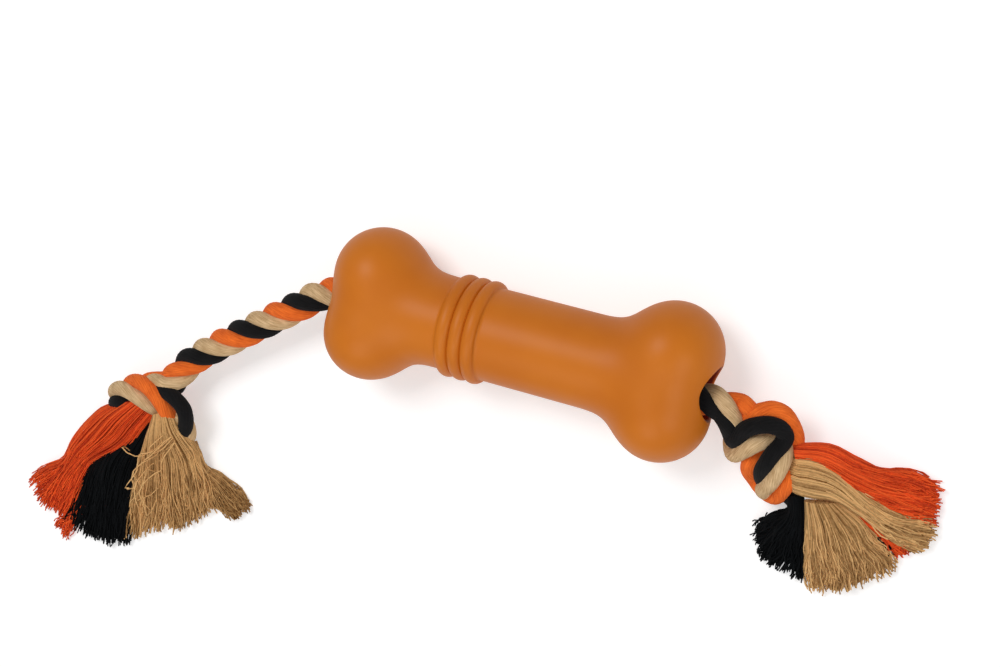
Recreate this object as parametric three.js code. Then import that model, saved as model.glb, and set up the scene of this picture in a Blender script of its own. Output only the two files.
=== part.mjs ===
import * as THREE from 'three';

// Bone-shaped dog toy: a hollow rubber bone on a rope of three cotton strands.
// The rope runs through the bore, and each end is knotted and frayed into a tassel.
// Millimetres. The origin is on the floor under the bone's middle, +X along the bone, +Z up.

// Rubber bone
const boneLength = 175;
const lobeRadius = 20.5;
const lobeOffset = 13.5;
const lobeThickness = 47;
const shaftDiameter = 40.6;
const lobeBlend = 11;
const neckBlend = 10.5;
const restFlatDepth = 0.5;
const boreDiameter = 22.5;
const lipRadius = 1.4;
const ribCount = 3;
const ribWidth = 6;
const ribHeight = 2.4;
const ribGroupEnd = -12;

// Rope
const ropeDiameter = 14;
const layPitchPerDiameter = 2.3;
const strandGap = 0.34;
const mouthStandoff = 3;
const bendGap = 0.2;
const bendSlope = 1.8;
const nodeGap = 0.35;
const restGap = 0.25;
const strandColours = { beige: 0xc9a876, black: 0x17181b, orange: 0xd9581e };
const strandNames = Object.keys(strandColours);
const beigeStartAngle = -35;

// How the rope lies in the bore, in shares of the room it has there: across at each mouth, and down
const leftMouthSide = 0.2;
const rightMouthSide = -0.9;
const mouthSag = 0.42;

// Where the two free rope ends lie, from the mouth of the bore, seen from above
const leftFreeTurn = 218.7;
const leftFreeLength = 91;
const rightFreeTurn = -20.6;

// Knots and tassels are laid out for a rope of this diameter. Their points are places on the floor plan,
// counted from where the rope comes in, and heights above the floor.
const layoutDiameter = 14;
const leftEntryHeight = 16.5;
const leftKnotStart = [-4, -7.4, 17];
const knotStrandRadius = 3.4;
const strandSpacing = 5.8;

// Ways of the strands through the left knot
const leftKnotWays = {
  beige: [
    [-12.2, -8.4, 19], [-18.8, -15.6, 12], [-16.2, -21.2, 10], [-11.7, -22.2, 14.5], [-13, -20.3, 18.5],
    [-16.8, -18, 21], [-23.4, -16.4, 20.5], [-31.6, -17.4, 16.5], [-37.5, -22.4, 9.5], [-33.7, -25.9, 5],
    [-19.5, -26.9, 4.6], [-5.5, -29.1, 5], [4.5, -33.4, 8.5], [6.5, -27.9, 12.5], [3.5, -22.9, 14.5],
    [-1.5, -24.9, 15.5], [-6.5, -28.9, 16], [-7.5, -33.9, 15.5], [-7.5, -37.9, 14.5],
  ],
  black: [
    [-7.7, -10.5, 20], [1, -12.1, 22], [6.7, -16.3, 21], [7.6, -22.4, 18], [4.3, -30.1, 13], [-4.5, -32.9, 6.5],
    [-16.5, -31.9, 4.6], [-28.5, -30.7, 4.6], [-35.5, -28.4, 8], [-34.5, -25.7, 13], [-29, -24, 16.5],
    [-24, -25.9, 14.5], [-22, -30.9, 12.5], [-21.4, -35.6, 11.5],
  ],
  orange: [
    [-19.5, -11.2, 13], [-18.7, -18.1, 8], [-10.2, -20.8, 8], [-3.8, -23, 12], [-1.7, -22.5, 18],
    [-3.7, -18.1, 21.5], [-7.7, -13.3, 23.5], [-13.9, -10.6, 22.5], [-21.8, -11.1, 18.5], [-29.1, -15.3, 12],
    [-31.6, -21.4, 7], [-27, -24.4, 8.5], [-27.5, -27.9, 11], [-30.2, -31, 11.5], [-30.8, -34.9, 11.5],
  ],
};

// Ways of the strands through the right knot
const rightKnotWays = {
  beige: [
    [5.8, -3.9, 21], [7.2, -9.2, 14.5], [5.5, -16, 9], [8, -20.4, 12], [12.8, -16.6, 18], [17, -12.4, 20.5],
    [20.7, -9.9, 19], [23.8, -8.7, 14.5], [27.7, -11.1, 15.5], [29.2, -15.2, 19], [28.5, -20.4, 19.5],
    [26.1, -27, 16], [23.3, -32.2, 10], [24.2, -33.6, 5], [28.7, -28.7, 5.5], [34, -21.9, 11.2],
    [38.1, -21.5, 12],
  ],
  black: [
    [3.2, -6.9, 22], [4.8, -11.2, 17.5], [7, -14.4, 15.5], [8.8, -12.8, 18.5], [12.3, -7, 22.5], [16.5, -4.1, 24],
    [21.5, -2.5, 24], [25.8, -3.4, 21.5], [28.2, -6.8, 16], [27, -11.2, 11], [23.4, -12.2, 12.5],
    [21.6, -11.4, 17.5], [23, -13.4, 21.8], [22.9, -18.4, 21], [21.8, -23.9, 16], [23, -28.7, 9.5],
    [29.6, -31.4, 6.5], [33.4, -32.2, 7.5], [36, -33.6, 7.5],
  ],
  orange: [
    [7.1, 2.4, 18], [10.2, 1.6, 20], [12.3, -1, 17], [12.4, -5.7, 11.5], [10.4, -8.5, 11], [10.1, -5.3, 15.5],
    [12.8, -1.4, 19], [16.6, 1.5, 20.5], [20.7, 3.3, 20.5], [25.2, 2.4, 19], [28.7, -1.2, 17], [31.2, -6.2, 13.5],
    [31.8, -12.3, 9.5], [32.4, -18.8, 13], [32.6, -24.5, 14.5], [30.9, -29.9, 11.5], [28.1, -34.3, 7],
    [23.4, -34, 4.5], [18.2, -29.5, 6], [15.5, -24.9, 11], [16.4, -20.6, 14], [18.2, -17.5, 11.5],
    [22.9, -17.3, 7.5], [29.1, -14.8, 7], [33.5, -12.9, 10.2], [37.6, -12.7, 11],
  ],
};

// Lines that the yarns of the left tassel follow from root to tip, side by side; the height is the top there
const leftTasselLines = {
  orangeSide: [[-45.5, -33.9, 8], [-53.5, -42.9, 7], [-59.5, -53.9, 5], [-63.5, -64.9, 4], [-71.5, -70.9, 3],
    [-83.5, -80.9, 2.5]],
  orange: [[-33.5, -35.4, 19], [-39.5, -43.9, 18.5], [-48.5, -53.9, 14], [-56.5, -64.9, 9], [-61.5, -71.9, 7.5],
    [-71.5, -91.9, 4]],
  orangeToBlack: [[-22.5, -36.9, 10], [-27, -44.9, 8.5], [-37.5, -53.9, 7], [-49.5, -63.9, 5.5], [-52, -71.9, 4.5],
    [-58.5, -92.9, 2.5]],
  black: [[-21.4, -37.7, 13], [-24, -45.9, 13], [-31.5, -55.9, 12.5], [-37.5, -65.9, 11], [-39.5, -79.9, 8],
    [-39.5, -100.9, 4]],
  blackToBeige: [[-20.5, -37.9, 10], [-21.5, -44.9, 8.5], [-24.5, -54.9, 7], [-25.5, -64.9, 5.5], [-25.5, -74.9, 4.5],
    [-24.5, -95.9, 2.5]],
  beige: [[-6.5, -38.9, 20.5], [-6.5, -44.9, 19.5], [-5.5, -51.9, 17], [-4.5, -60.9, 14], [-2.5, -70.9, 10.5],
    [-0.5, -84.9, 4]],
  beigeRight: [[7.5, -39.9, 12], [9.5, -43.9, 11.5], [12.5, -47.9, 10.5], [16.5, -53.9, 9], [20.5, -58.9, 7],
    [26.5, -66.9, 4]],
  beigeSide: [[11, -41.2, 6], [14.5, -43.9, 5.5], [20.5, -45.9, 5], [25.5, -48.4, 4.5], [32.5, -52.9, 3.5],
    [41.5, -58.9, 2.5]],
};

// The same for the right tassel
const rightTasselLines = {
  blackSide: [[35, -36.6, 6], [34.5, -37.9, 6], [33, -40.4, 5], [31, -42.9, 4], [28.5, -45.1, 3], [25.5, -47.4, 2.5]],
  black: [[36.8, -36.2, 11], [36.6, -39, 11], [35.8, -43.4, 9.5], [34, -48.4, 8], [31.5, -54.4, 6], [28.5, -61.4, 4]],
  blackToBeige: [[38.4, -35, 9], [41.3, -39.4, 7.5], [43, -45.4, 6], [44.5, -52.4, 5], [46.5, -60.4, 4],
    [48.5, -69.4, 2.5]],
  beigeLow: [[39.2, -32, 14], [48, -35.4, 12.5], [54.3, -40.4, 11.5], [59.5, -46.9, 10.5], [63.5, -54.4, 8],
    [67.5, -63.4, 4]],
  beigeFold: [[39.4, -28, 17], [47.5, -29.9, 14.5], [55.5, -32.4, 12.5], [65, -36.4, 11], [75, -41.9, 8],
    [83, -47.4, 4]],
  beige: [[39.4, -21.5, 20], [45, -21.4, 20.5], [53.5, -24.4, 18], [64.5, -28.4, 14.5], [76.5, -32.9, 10.5],
    [89.5, -34.4, 5]],
  beigeToOrange: [[39.2, -16, 14], [44, -14.9, 12.5], [52.5, -17.9, 10], [63.5, -23.4, 8], [76.5, -27.4, 5.5],
    [90.5, -29.4, 3]],
  orange: [[38.8, -12.8, 17], [43.5, -11.9, 17], [53.5, -14.9, 15], [65.5, -17.9, 12], [78.5, -19.9, 8],
    [91.5, -20.9, 4]],
  orangeSide: [[38, -9.5, 11], [41.5, -7.4, 10], [52.5, -8.9, 7], [65.5, -10.4, 5], [77.5, -10.9, 3.5],
    [89.5, -12.4, 2.5]],
};

// Derived sizes
const halfLength = boneLength / 2;
const lobeX = halfLength - lobeRadius;
const axisHeight = lobeThickness / 2 - restFlatDepth;
const boreRadius = boreDiameter / 2;
const shaftRadius = shaftDiameter / 2;
const mouthX = halfLength + mouthStandoff;
const ropeRadius = ropeDiameter / 2;
const ropeRoom = boreRadius - ropeRadius - restGap;
const ropeHeight = axisHeight - ropeRoom * mouthSag;
const layoutScale = ropeDiameter / layoutDiameter;

function radians(degrees) {
  return degrees * Math.PI / 180;
}

// Two distances joined with a rounding of the given size
function blend(a, b, size) {
  const share = THREE.MathUtils.clamp(0.5 + 0.5 * (b - a) / size, 0, 1);
  return b + (a - b) * share - size * share * (1 - share);
}

// Distance to one lobe, an ellipsoid that is taller than it is wide
function lobeDistance(x, y, z, centreY) {
  const tall = lobeThickness / 2;
  const dx = Math.abs(x) - lobeX;
  const dy = y - centreY;
  const reach = Math.hypot(dx / lobeRadius, dy / lobeRadius, z / tall);
  const slope = Math.hypot(dx / lobeRadius ** 2, dy / lobeRadius ** 2, z / tall ** 2);
  return reach * (reach - 1) / Math.max(slope, 1e-6);
}

// Distance to the outside of the bone, heights counted from its axis
function boneDistance(x, y, z) {
  const lobes = blend(lobeDistance(x, y, z, lobeOffset), lobeDistance(x, y, z, -lobeOffset), lobeBlend);
  const pastShaft = Math.max(Math.abs(x) - (lobeX - 6), 0);
  const shaft = Math.hypot(pastShaft, y, z) - shaftRadius;
  return blend(lobes, shaft, neckBlend);
}

// Where a ray from the bone's axis leaves the bone, as [x, radius]
function outsidePoint(startX, slope, azimuth) {
  const alongX = Math.cos(slope);
  const outward = Math.sin(slope);
  let near = 0;
  let far = 3 * lobeRadius;
  for (let step = 0; step < 40; step += 1) {
    const reach = (near + far) / 2;
    const radius = reach * outward;
    const x = startX + reach * alongX;
    const inside = boneDistance(x, radius * Math.cos(azimuth), radius * Math.sin(azimuth)) < 0;
    if (inside) {
      near = reach;
    } else {
      far = reach;
    }
  }
  return [startX + near * alongX, near * outward];
}

// Slope of the ray that leaves the bone at the rim of the mouth
function rimSlope(startX, side, azimuth) {
  let low = 0.05;
  let high = Math.PI / 2;
  for (let step = 0; step < 30; step += 1) {
    const middle = (low + high) / 2;
    const slope = side > 0 ? middle : Math.PI - middle;
    const radius = outsidePoint(startX, slope, azimuth)[1];
    if (radius < boreRadius + lipRadius) {
      low = middle;
    } else {
      high = middle;
    }
  }
  return high;
}

// Height of the half-round ribs round the shaft
function ribRise(x) {
  for (let rib = 0; rib < ribCount; rib += 1) {
    const centre = ribGroupEnd - ribWidth * (rib + 0.5);
    const offset = (x - centre) / (ribWidth / 2);
    if (Math.abs(offset) < 1) {
      return ribHeight * Math.sqrt(1 - offset * offset);
    }
  }
  return 0;
}

// Positions along the bone between the two ends, closer together over the ribs
function shaftStations(endX) {
  const groupStart = ribGroupEnd - ribWidth * ribCount;
  const stations = [];
  for (let i = 0; i < 6; i += 1) {
    stations.push(THREE.MathUtils.lerp(-endX, groupStart - 0.6, i / 5));
  }
  for (let rib = ribCount - 1; rib >= 0; rib -= 1) {
    const centre = ribGroupEnd - ribWidth * (rib + 0.5);
    for (const share of [-1, -0.92, -0.6, 0, 0.6, 0.92]) {
      stations.push(centre + share * ribWidth / 2);
    }
  }
  stations.push(ribGroupEnd);
  for (let i = 0; i < 9; i += 1) {
    stations.push(THREE.MathUtils.lerp(ribGroupEnd + 0.6, endX, i / 8));
  }
  return stations;
}

// One line round the bone at one azimuth: over the outside, round both lips and back through the bore
function boneSection(azimuth) {
  const endX = lobeX * 0.88;
  const endSteps = 9;
  const line = [];
  const lip = [];
  const leftRim = rimSlope(-endX, -1, azimuth);
  for (let i = 0; i < endSteps; i += 1) {
    const slope = Math.PI - THREE.MathUtils.lerp(leftRim, Math.PI / 2, i / endSteps);
    line.push(outsidePoint(-endX, slope, azimuth));
  }
  for (const x of shaftStations(endX)) {
    const radius = outsidePoint(x, Math.PI / 2, azimuth)[1];
    line.push([x, radius + ribRise(x)]);
  }
  const rightRim = rimSlope(endX, 1, azimuth);
  for (let i = 1; i <= endSteps; i += 1) {
    const slope = THREE.MathUtils.lerp(Math.PI / 2, rightRim, i / endSteps);
    line.push(outsidePoint(endX, slope, azimuth));
  }
  const right = line[line.length - 1];
  const left = line[0];
  for (const turn of [35, 65, 90]) {
    lip.push([lipRadius * Math.sin(radians(turn)), lipRadius * (1 - Math.cos(radians(turn)))]);
  }
  for (const [across, back] of lip) {
    line.push([right[0] - back, right[1] - across]);
  }
  const boreSteps = 8;
  for (let i = 1; i < boreSteps; i += 1) {
    const x = THREE.MathUtils.lerp(right[0] - lipRadius, left[0] + lipRadius, i / boreSteps);
    line.push([x, boreRadius]);
  }
  for (const [across, back] of lip.reverse()) {
    line.push([left[0] + back, left[1] - across]);
  }
  return line;
}

// A mesh from equal rings of points; open ends are closed with flat fans
function meshFromRings(rings, loopClosed) {
  const count = rings[0].length;
  const positions = [];
  const index = [];
  for (const ring of rings) {
    for (const point of ring) {
      positions.push(point.x, point.y, point.z);
    }
  }
  const last = loopClosed ? rings.length : rings.length - 1;
  for (let i = 0; i < last; i += 1) {
    const next = (i + 1) % rings.length;
    for (let j = 0; j < count; j += 1) {
      const k = (j + 1) % count;
      const a = i * count + j;
      const b = i * count + k;
      const c = next * count + k;
      const d = next * count + j;
      index.push(a, b, c, a, c, d);
    }
  }
  if (!loopClosed) {
    for (const [ring, flip] of [[0, true], [rings.length - 1, false]]) {
      const centre = new THREE.Vector3();
      for (const point of rings[ring]) {
        centre.addScaledVector(point, 1 / count);
      }
      const tip = positions.length / 3;
      positions.push(centre.x, centre.y, centre.z);
      for (let j = 0; j < count; j += 1) {
        const a = ring * count + j;
        const b = ring * count + (j + 1) % count;
        if (flip) {
          index.push(tip, b, a);
        } else {
          index.push(tip, a, b);
        }
      }
    }
  }
  const geometry = new THREE.BufferGeometry();
  geometry.setAttribute('position', new THREE.Float32BufferAttribute(positions, 3));
  geometry.setIndex(index);
  geometry.computeVertexNormals();
  return geometry;
}

function namedMesh(name, geometry, colour) {
  const material = new THREE.MeshStandardMaterial({ color: colour, roughness: 0.6 });
  const mesh = new THREE.Mesh(geometry, material);
  mesh.name = name;
  return mesh;
}

function makeBone() {
  const azimuthCount = 52;
  const sections = [];
  for (let i = 0; i < azimuthCount; i += 1) {
    const azimuth = -2 * Math.PI * i / azimuthCount;
    const ring = [];
    for (const [x, radius] of boneSection(azimuth)) {
      const z = Math.max(radius * Math.sin(azimuth), -axisHeight);
      ring.push(new THREE.Vector3(x, radius * Math.cos(azimuth), axisHeight + z));
    }
    sections.push(ring);
  }
  return namedMesh('rubber_bone', meshFromRings(sections, true), 0xc87326);
}

// Outline of one strand across a rope of diameter 1: a third of the rope with a round outer side
function strandOutline(gapShare) {
  const bulgeCentre = 0.262;
  const bulgeRadius = 0.238;
  const points = [];
  const edge = radians(60);
  points.push([gapShare / (2 * Math.sin(edge)), 0]);
  const cornerReach = 0.27;
  const corner = [cornerReach * Math.cos(edge), cornerReach * Math.sin(edge)];
  const inset = [gapShare / 2 * Math.sin(edge), -gapShare / 2 * Math.cos(edge)];
  const low = [corner[0] + inset[0], -(corner[1] + inset[1])];
  const high = [low[0], -low[1]];
  points.push(low);
  for (const turn of [-62, -22, 22, 62]) {
    const x = bulgeCentre + bulgeRadius * Math.cos(radians(turn));
    points.push([x, bulgeRadius * Math.sin(radians(turn))]);
  }
  points.push(high);
  return points;
}

// Places along a curve, with the direction there and the length up to there
function curveSamples(curve, shares) {
  const length = curve.getLength();
  return shares.map((share) => ({
    point: curve.getPointAt(share),
    tangent: curve.getTangentAt(share),
    along: share * length,
  }));
}

function evenShares(steps) {
  return Array.from({ length: steps + 1 }, (unused, i) => i / steps);
}

// Frames carried along a curve without twist, starting from a given side direction
function carriedFrames(samples, startSide) {
  const frames = [];
  let side = startSide.clone();
  for (const { point, tangent } of samples) {
    side = side.clone().addScaledVector(tangent, -side.dot(tangent)).normalize();
    frames.push({ point, side, across: tangent.clone().cross(side) });
  }
  return frames;
}

// Turn of the lay along the rope, which is tighter where the rope is thinner
function layAngles(samples, diameters, startAngle) {
  const angles = [startAngle];
  for (let i = 1; i < samples.length; i += 1) {
    const length = samples[i].along - samples[i - 1].along;
    const pitch = layPitchPerDiameter * (diameters[i] + diameters[i - 1]) / 2;
    angles.push(angles[i - 1] + 2 * Math.PI * length / pitch);
  }
  return angles;
}

// One strand of a stretch of rope: the outline swept along the frames
function strandGeometry(stretch, strand) {
  const rings = [];
  for (let i = 0; i < stretch.frames.length; i += 1) {
    const { point, side, across } = stretch.frames[i];
    const diameter = stretch.diameters[i];
    const angle = stretch.angles[i] + strand * 2 * Math.PI / 3 * stretch.hand;
    const ring = [];
    for (const [out, sideways] of strandOutline(strandGap / diameter)) {
      const a = out * diameter * stretch.narrowing[i];
      const b = sideways * diameter * stretch.narrowing[i];
      const x = a * Math.cos(angle) - b * Math.sin(angle);
      const y = a * Math.sin(angle) + b * Math.cos(angle);
      ring.push(point.clone().addScaledVector(side, x).addScaledVector(across, y));
    }
    rings.push(ring);
  }
  return meshFromRings(rings, false);
}

// Narrowing of the rope to a blunt cone at an end that bends at a mouth, so that both sides can swing
function endNarrowing(distance) {
  return Math.min(1, (bendGap + distance) * bendSlope / ropeRadius);
}

function floorDirection(turn) {
  return new THREE.Vector3(Math.cos(radians(turn)), Math.sin(radians(turn)), 0);
}

// A point of a knot or tassel, laid out from where the rope comes in
function layoutPoint(anchor, [x, y, z]) {
  return new THREE.Vector3(anchor.x + x * layoutScale, anchor.y + y * layoutScale, z * layoutScale);
}

const leftMouth = new THREE.Vector3(-mouthX, ropeRoom * leftMouthSide, ropeHeight);
const rightMouth = new THREE.Vector3(mouthX, ropeRoom * rightMouthSide, ropeHeight);
const ropeMiddle = leftMouth.clone().lerp(rightMouth, 0.5);
const coneLength = ropeRadius / bendSlope - bendGap;
const leftEntry = leftMouth.clone().addScaledVector(floorDirection(leftFreeTurn), leftFreeLength);
leftEntry.z = leftEntryHeight * layoutScale;
const leftStart = layoutPoint(leftEntry, leftKnotStart);

// A stretch of rope: its frames, its lay, its diameter and how it narrows at an end that bends
function stretchOf(samples, start, diameterAt, narrowingAt) {
  const diameters = samples.map(({ along }) => diameterAt(along));
  return {
    frames: carriedFrames(samples, start.side),
    diameters,
    angles: layAngles(samples, diameters, start.angle),
    narrowing: samples.map(({ along }) => narrowingAt(along)),
    hand: start.hand,
  };
}

// Rope through the bore, split in its middle; each half ends in a blunt cone at its mouth
function boreStretch(mouth, start) {
  const outward = mouth.clone().sub(ropeMiddle).normalize();
  const first = ropeMiddle.clone().addScaledVector(outward, nodeGap / 2);
  const last = mouth.clone().addScaledVector(outward, -bendGap);
  const curve = new THREE.LineCurve3(first, last);
  const length = curve.getLength();
  const fullShare = 1 - coneLength / length;
  const shares = evenShares(16).map((share) => share * fullShare);
  shares.push((fullShare + 1) / 2, 1);
  const narrowing = (along) => endNarrowing(length - along);
  return stretchOf(curveSamples(curve, shares), start, () => ropeDiameter, narrowing);
}

// Free rope from the mouth to where it enters the knot, which it bends into
function freeStretch(mouth, entry, knotStart, start) {
  const toEntry = entry.clone().sub(mouth);
  const first = mouth.clone().addScaledVector(toEntry.clone().normalize(), bendGap);
  const intoKnot = knotStart.clone().sub(entry).normalize();
  const last = entry.clone().addScaledVector(intoKnot, -nodeGap);
  const bend = last.clone().addScaledVector(intoKnot, -toEntry.length() * 0.12);
  const curve = new THREE.CubicBezierCurve3(first, first.clone().lerp(last, 0.4), bend, last);
  const coneShare = coneLength / curve.getLength();
  const shares = evenShares(17).map((share) => THREE.MathUtils.lerp(coneShare, 1, share));
  shares.unshift(0, coneShare / 2);
  return stretchOf(curveSamples(curve, shares), start, () => ropeDiameter, endNarrowing);
}

// The last bit of the lay, from which the strands go their own ways through a knot
function leadStretch(from, to, shares, start, narrowingAt) {
  return stretchOf(curveSamples(new THREE.LineCurve3(from, to), shares), start, () => ropeDiameter, narrowingAt);
}

// The state of the lay at the end of one stretch, where the next one goes on
function goOn(stretch) {
  const last = stretch.frames.length - 1;
  return { side: stretch.frames[last].side, angle: stretch.angles[last], hand: stretch.hand };
}

// Centre line of one strand of a knot: along the lay at first, then its own way
function knotStrandLine(lead, strand, anchor, way) {
  const points = [];
  for (let i = 0; i < lead.frames.length; i += 1) {
    const { point, side, across } = lead.frames[i];
    const angle = lead.angles[i] + strand * 2 * Math.PI / 3 * lead.hand;
    const out = 0.25 * ropeDiameter * lead.narrowing[i];
    const centre = point.clone().addScaledVector(side, out * Math.cos(angle));
    points.push(centre.addScaledVector(across, out * Math.sin(angle)));
  }
  for (const place of way) {
    points.push(layoutPoint(anchor, place));
  }
  const curve = new THREE.CatmullRomCurve3(points, false, 'centripetal');
  return curve.getSpacedPoints(Math.round(curve.getLength() / (1.5 * layoutScale)));
}

// Pairs of places on the strands of a knot that aren't next to each other along one strand
function eachPair(lines, visit) {
  const apart = 9;
  lines.forEach((line, a) => {
    lines.slice(a).forEach((other, step) => {
      for (let i = 0; i < line.length; i += 1) {
        for (let j = step === 0 ? i + apart : 0; j < other.length; j += 1) {
          visit(a, i, a + step, j, line[i].distanceTo(other[j]));
        }
      }
    });
  });
}

// Strands of a knot press each other aside until they all have room
function pressAside(lines) {
  const held = 4;
  const spacing = strandSpacing * layoutScale;
  for (let round = 0; round < 60; round += 1) {
    eachPair(lines, (a, i, b, j, distance) => {
      if (distance < spacing) {
        const push = lines[a][i].clone().sub(lines[b][j]).multiplyScalar(0.2 * (spacing / distance - 1));
        if (i > held && i < lines[a].length - held) {
          lines[a][i].add(push);
        }
        if (j > held && j < lines[b].length - held) {
          lines[b][j].sub(push);
        }
      }
    });
    for (const line of lines) {
      for (let i = held + 1; i < line.length - held; i += 1) {
        const middle = line[i - 1].clone().lerp(line[i + 1], 0.5);
        line[i].lerp(middle, 0.2);
        line[i].z = Math.max(line[i].z, 0.6 * spacing);
      }
    }
  }
}

// Thickness of each strand of a knot, as much as its neighbours leave it
function strandRadii(lines) {
  const room = lines.map((line) => line.map((point) => 2 * (point.z - restGap)));
  eachPair(lines, (a, i, b, j, distance) => {
    room[a][i] = Math.min(room[a][i], distance - strandGap);
    room[b][j] = Math.min(room[b][j], distance - strandGap);
  });
  return lines.map((line, a) => {
    const most = line.map((point, i) => {
      const middle = THREE.MathUtils.clamp(i, 2, line.length - 3);
      const span = line[middle + 2].clone().sub(line[middle - 2]);
      const bend = line[middle - 2].clone().addScaledVector(span, 0.5).distanceTo(line[middle]);
      const bendRadius = span.lengthSq() / (8 * Math.max(bend, 0.01));
      return Math.min(knotStrandRadius * layoutScale, room[a][i] / 2, 0.8 * bendRadius);
    });
    const least = most.map((radius, i) => Math.min(...most.slice(Math.max(i - 1, 0), i + 2)));
    return least.map((radius, i) => {
      const near = least.slice(Math.max(i - 1, 0), i + 2);
      return near.reduce((sum, value) => sum + value, 0) / near.length;
    });
  });
}

// A round tube along a line of points, cut square to the rope where it starts
function tubeGeometry(line, radii, ropeDirection) {
  const sides = 8;
  const samples = line.map((point, i) => ({
    point,
    tangent: line[Math.min(i + 1, line.length - 1)].clone().sub(line[Math.max(i - 1, 0)]).normalize(),
  }));
  samples[0].tangent = ropeDirection;
  const start = Math.abs(samples[0].tangent.z) < 0.9 ? up : new THREE.Vector3(1, 0, 0);
  const rings = [];
  carriedFrames(samples, start).forEach(({ point, side, across }, i) => {
    if (i % 2 === 1 && i < line.length - 1) {
      return;
    }
    const ring = [];
    for (let j = 0; j < sides; j += 1) {
      const turn = 2 * Math.PI * j / sides;
      const out = side.clone().multiplyScalar(radii[i] * Math.cos(turn));
      out.addScaledVector(across, radii[i] * Math.sin(turn));
      ring.push(point.clone().add(out));
    }
    rings.push(ring);
  });
  return meshFromRings(rings, false);
}

// The strands of a knot, one mesh for each
function makeKnot(knotName, lead, ropeDirection, anchor, ways) {
  const lines = strandNames.map((name, strand) => knotStrandLine(lead, strand, anchor, ways[name]));
  pressAside(lines);
  const radii = strandRadii(lines);
  return strandNames.map((name, strand) => {
    const geometry = tubeGeometry(lines[strand], radii[strand], ropeDirection);
    return namedMesh(`${knotName}_${name}`, geometry, strandColours[name]);
  });
}

const up = new THREE.Vector3(0, 0, 1);
const rightLay = { side: up, angle: radians(beigeStartAngle), hand: 1 };
const leftLay = { side: up, angle: -radians(beigeStartAngle), hand: -1 };
const rightBore = boreStretch(rightMouth, rightLay);
const rightLeadEnd = rightMouth.clone().addScaledVector(floorDirection(rightFreeTurn), 2.5);
const rightLead = leadStretch(rightMouth, rightLeadEnd, [0.2, 0.6, 1], goOn(rightBore), endNarrowing);
const leftBore = boreStretch(leftMouth, leftLay);
const leftFree = freeStretch(leftMouth, leftEntry, leftStart, goOn(leftBore));
const leftLead = leadStretch(leftEntry, leftStart, [0, 0.5, 1], goOn(leftFree), () => 1);

// One strand's part of a tassel: a closed fan between the first and the last of its lines
function fanGeometry(anchor, lines) {
  const rows = 8;
  const columns = 3;
  const halfGap = nodeGap / 2;
  const curves = lines.map((line) => new THREE.CatmullRomCurve3(
    line.map((place) => layoutPoint(anchor, place)), false, 'centripetal'));
  const rings = [];
  for (let row = 0; row <= rows; row += 1) {
    const along = row / rows;
    const crest = curves.map((curve) => curve.getPoint(along));
    const top = [];
    for (let i = 0; i < crest.length - 1; i += 1) {
      for (let column = 0; column < columns; column += 1) {
        const share = column / columns;
        const point = crest[i].clone().lerp(crest[i + 1], share);
        const rising = crest[i].z < crest[i + 1].z;
        const round = rising ? Math.sin(share * Math.PI / 2) : 1 - Math.cos(share * Math.PI / 2);
        point.z = THREE.MathUtils.lerp(crest[i].z, crest[i + 1].z, round);
        top.push(point);
      }
    }
    top.push(crest[crest.length - 1].clone());
    top[0].addScaledVector(top[1].clone().sub(top[0]).setZ(0).normalize(), halfGap);
    const last = top.length - 1;
    top[last].addScaledVector(top[last - 1].clone().sub(top[last]).setZ(0).normalize(), halfGap);
    const lifted = 1 - THREE.MathUtils.smoothstep(along, 0, 0.4);
    const bottom = top.map((point) => new THREE.Vector3(
      point.x, point.y, Math.max(restGap, Math.min(6 * layoutScale * lifted, point.z - 2))));
    rings.push(top.reverse().concat(bottom));
  }
  return meshFromRings(rings, false);
}

const leftFans = {
  orange: ['orangeSide', 'orange', 'orangeToBlack'],
  black: ['orangeToBlack', 'black', 'blackToBeige'],
  beige: ['blackToBeige', 'beige', 'beigeRight', 'beigeSide'],
};
const rightFans = {
  black: ['blackSide', 'black', 'blackToBeige'],
  beige: ['blackToBeige', 'beigeLow', 'beigeFold', 'beige', 'beigeToOrange'],
  orange: ['beigeToOrange', 'orange', 'orangeSide'],
};

const toy = new THREE.Group();
toy.name = 'bone_dog_toy';
toy.add(makeBone());
const stretches = { bore_rope_left: leftBore, bore_rope_right: rightBore, left_rope: leftFree };
for (const [stretchName, stretch] of Object.entries(stretches)) {
  strandNames.forEach((strandName, strand) => {
    const geometry = strandGeometry(stretch, strand);
    toy.add(namedMesh(`${stretchName}_${strandName}`, geometry, strandColours[strandName]));
  });
}
const leftDirection = leftStart.clone().sub(leftEntry).normalize();
toy.add(...makeKnot('left_knot', leftLead, leftDirection, leftEntry, leftKnotWays));
toy.add(...makeKnot('right_knot', rightLead, floorDirection(rightFreeTurn), rightMouth, rightKnotWays));
const tassels = [
  ['left_tassel', leftEntry, leftFans, leftTasselLines],
  ['right_tassel', rightMouth, rightFans, rightTasselLines],
];
for (const [tasselName, anchor, fans, tasselLines] of tassels) {
  for (const strandName of strandNames) {
    const geometry = fanGeometry(anchor, fans[strandName].map((lineName) => tasselLines[lineName]));
    toy.add(namedMesh(`${tasselName}_${strandName}`, geometry, strandColours[strandName]));
  }
}

export default toy;
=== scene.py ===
"""Bone-shaped dog toy: a moulded rubber bone on a rope of three cotton strands, with frayed ends.

Sizes are in millimetres and become metres where a mesh is made. The origin is on the floor under
the bone's middle, +X runs along the bone and +Z is up.
"""

import math

import bpy
import numpy as np
from mathutils import Matrix, Vector


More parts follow.
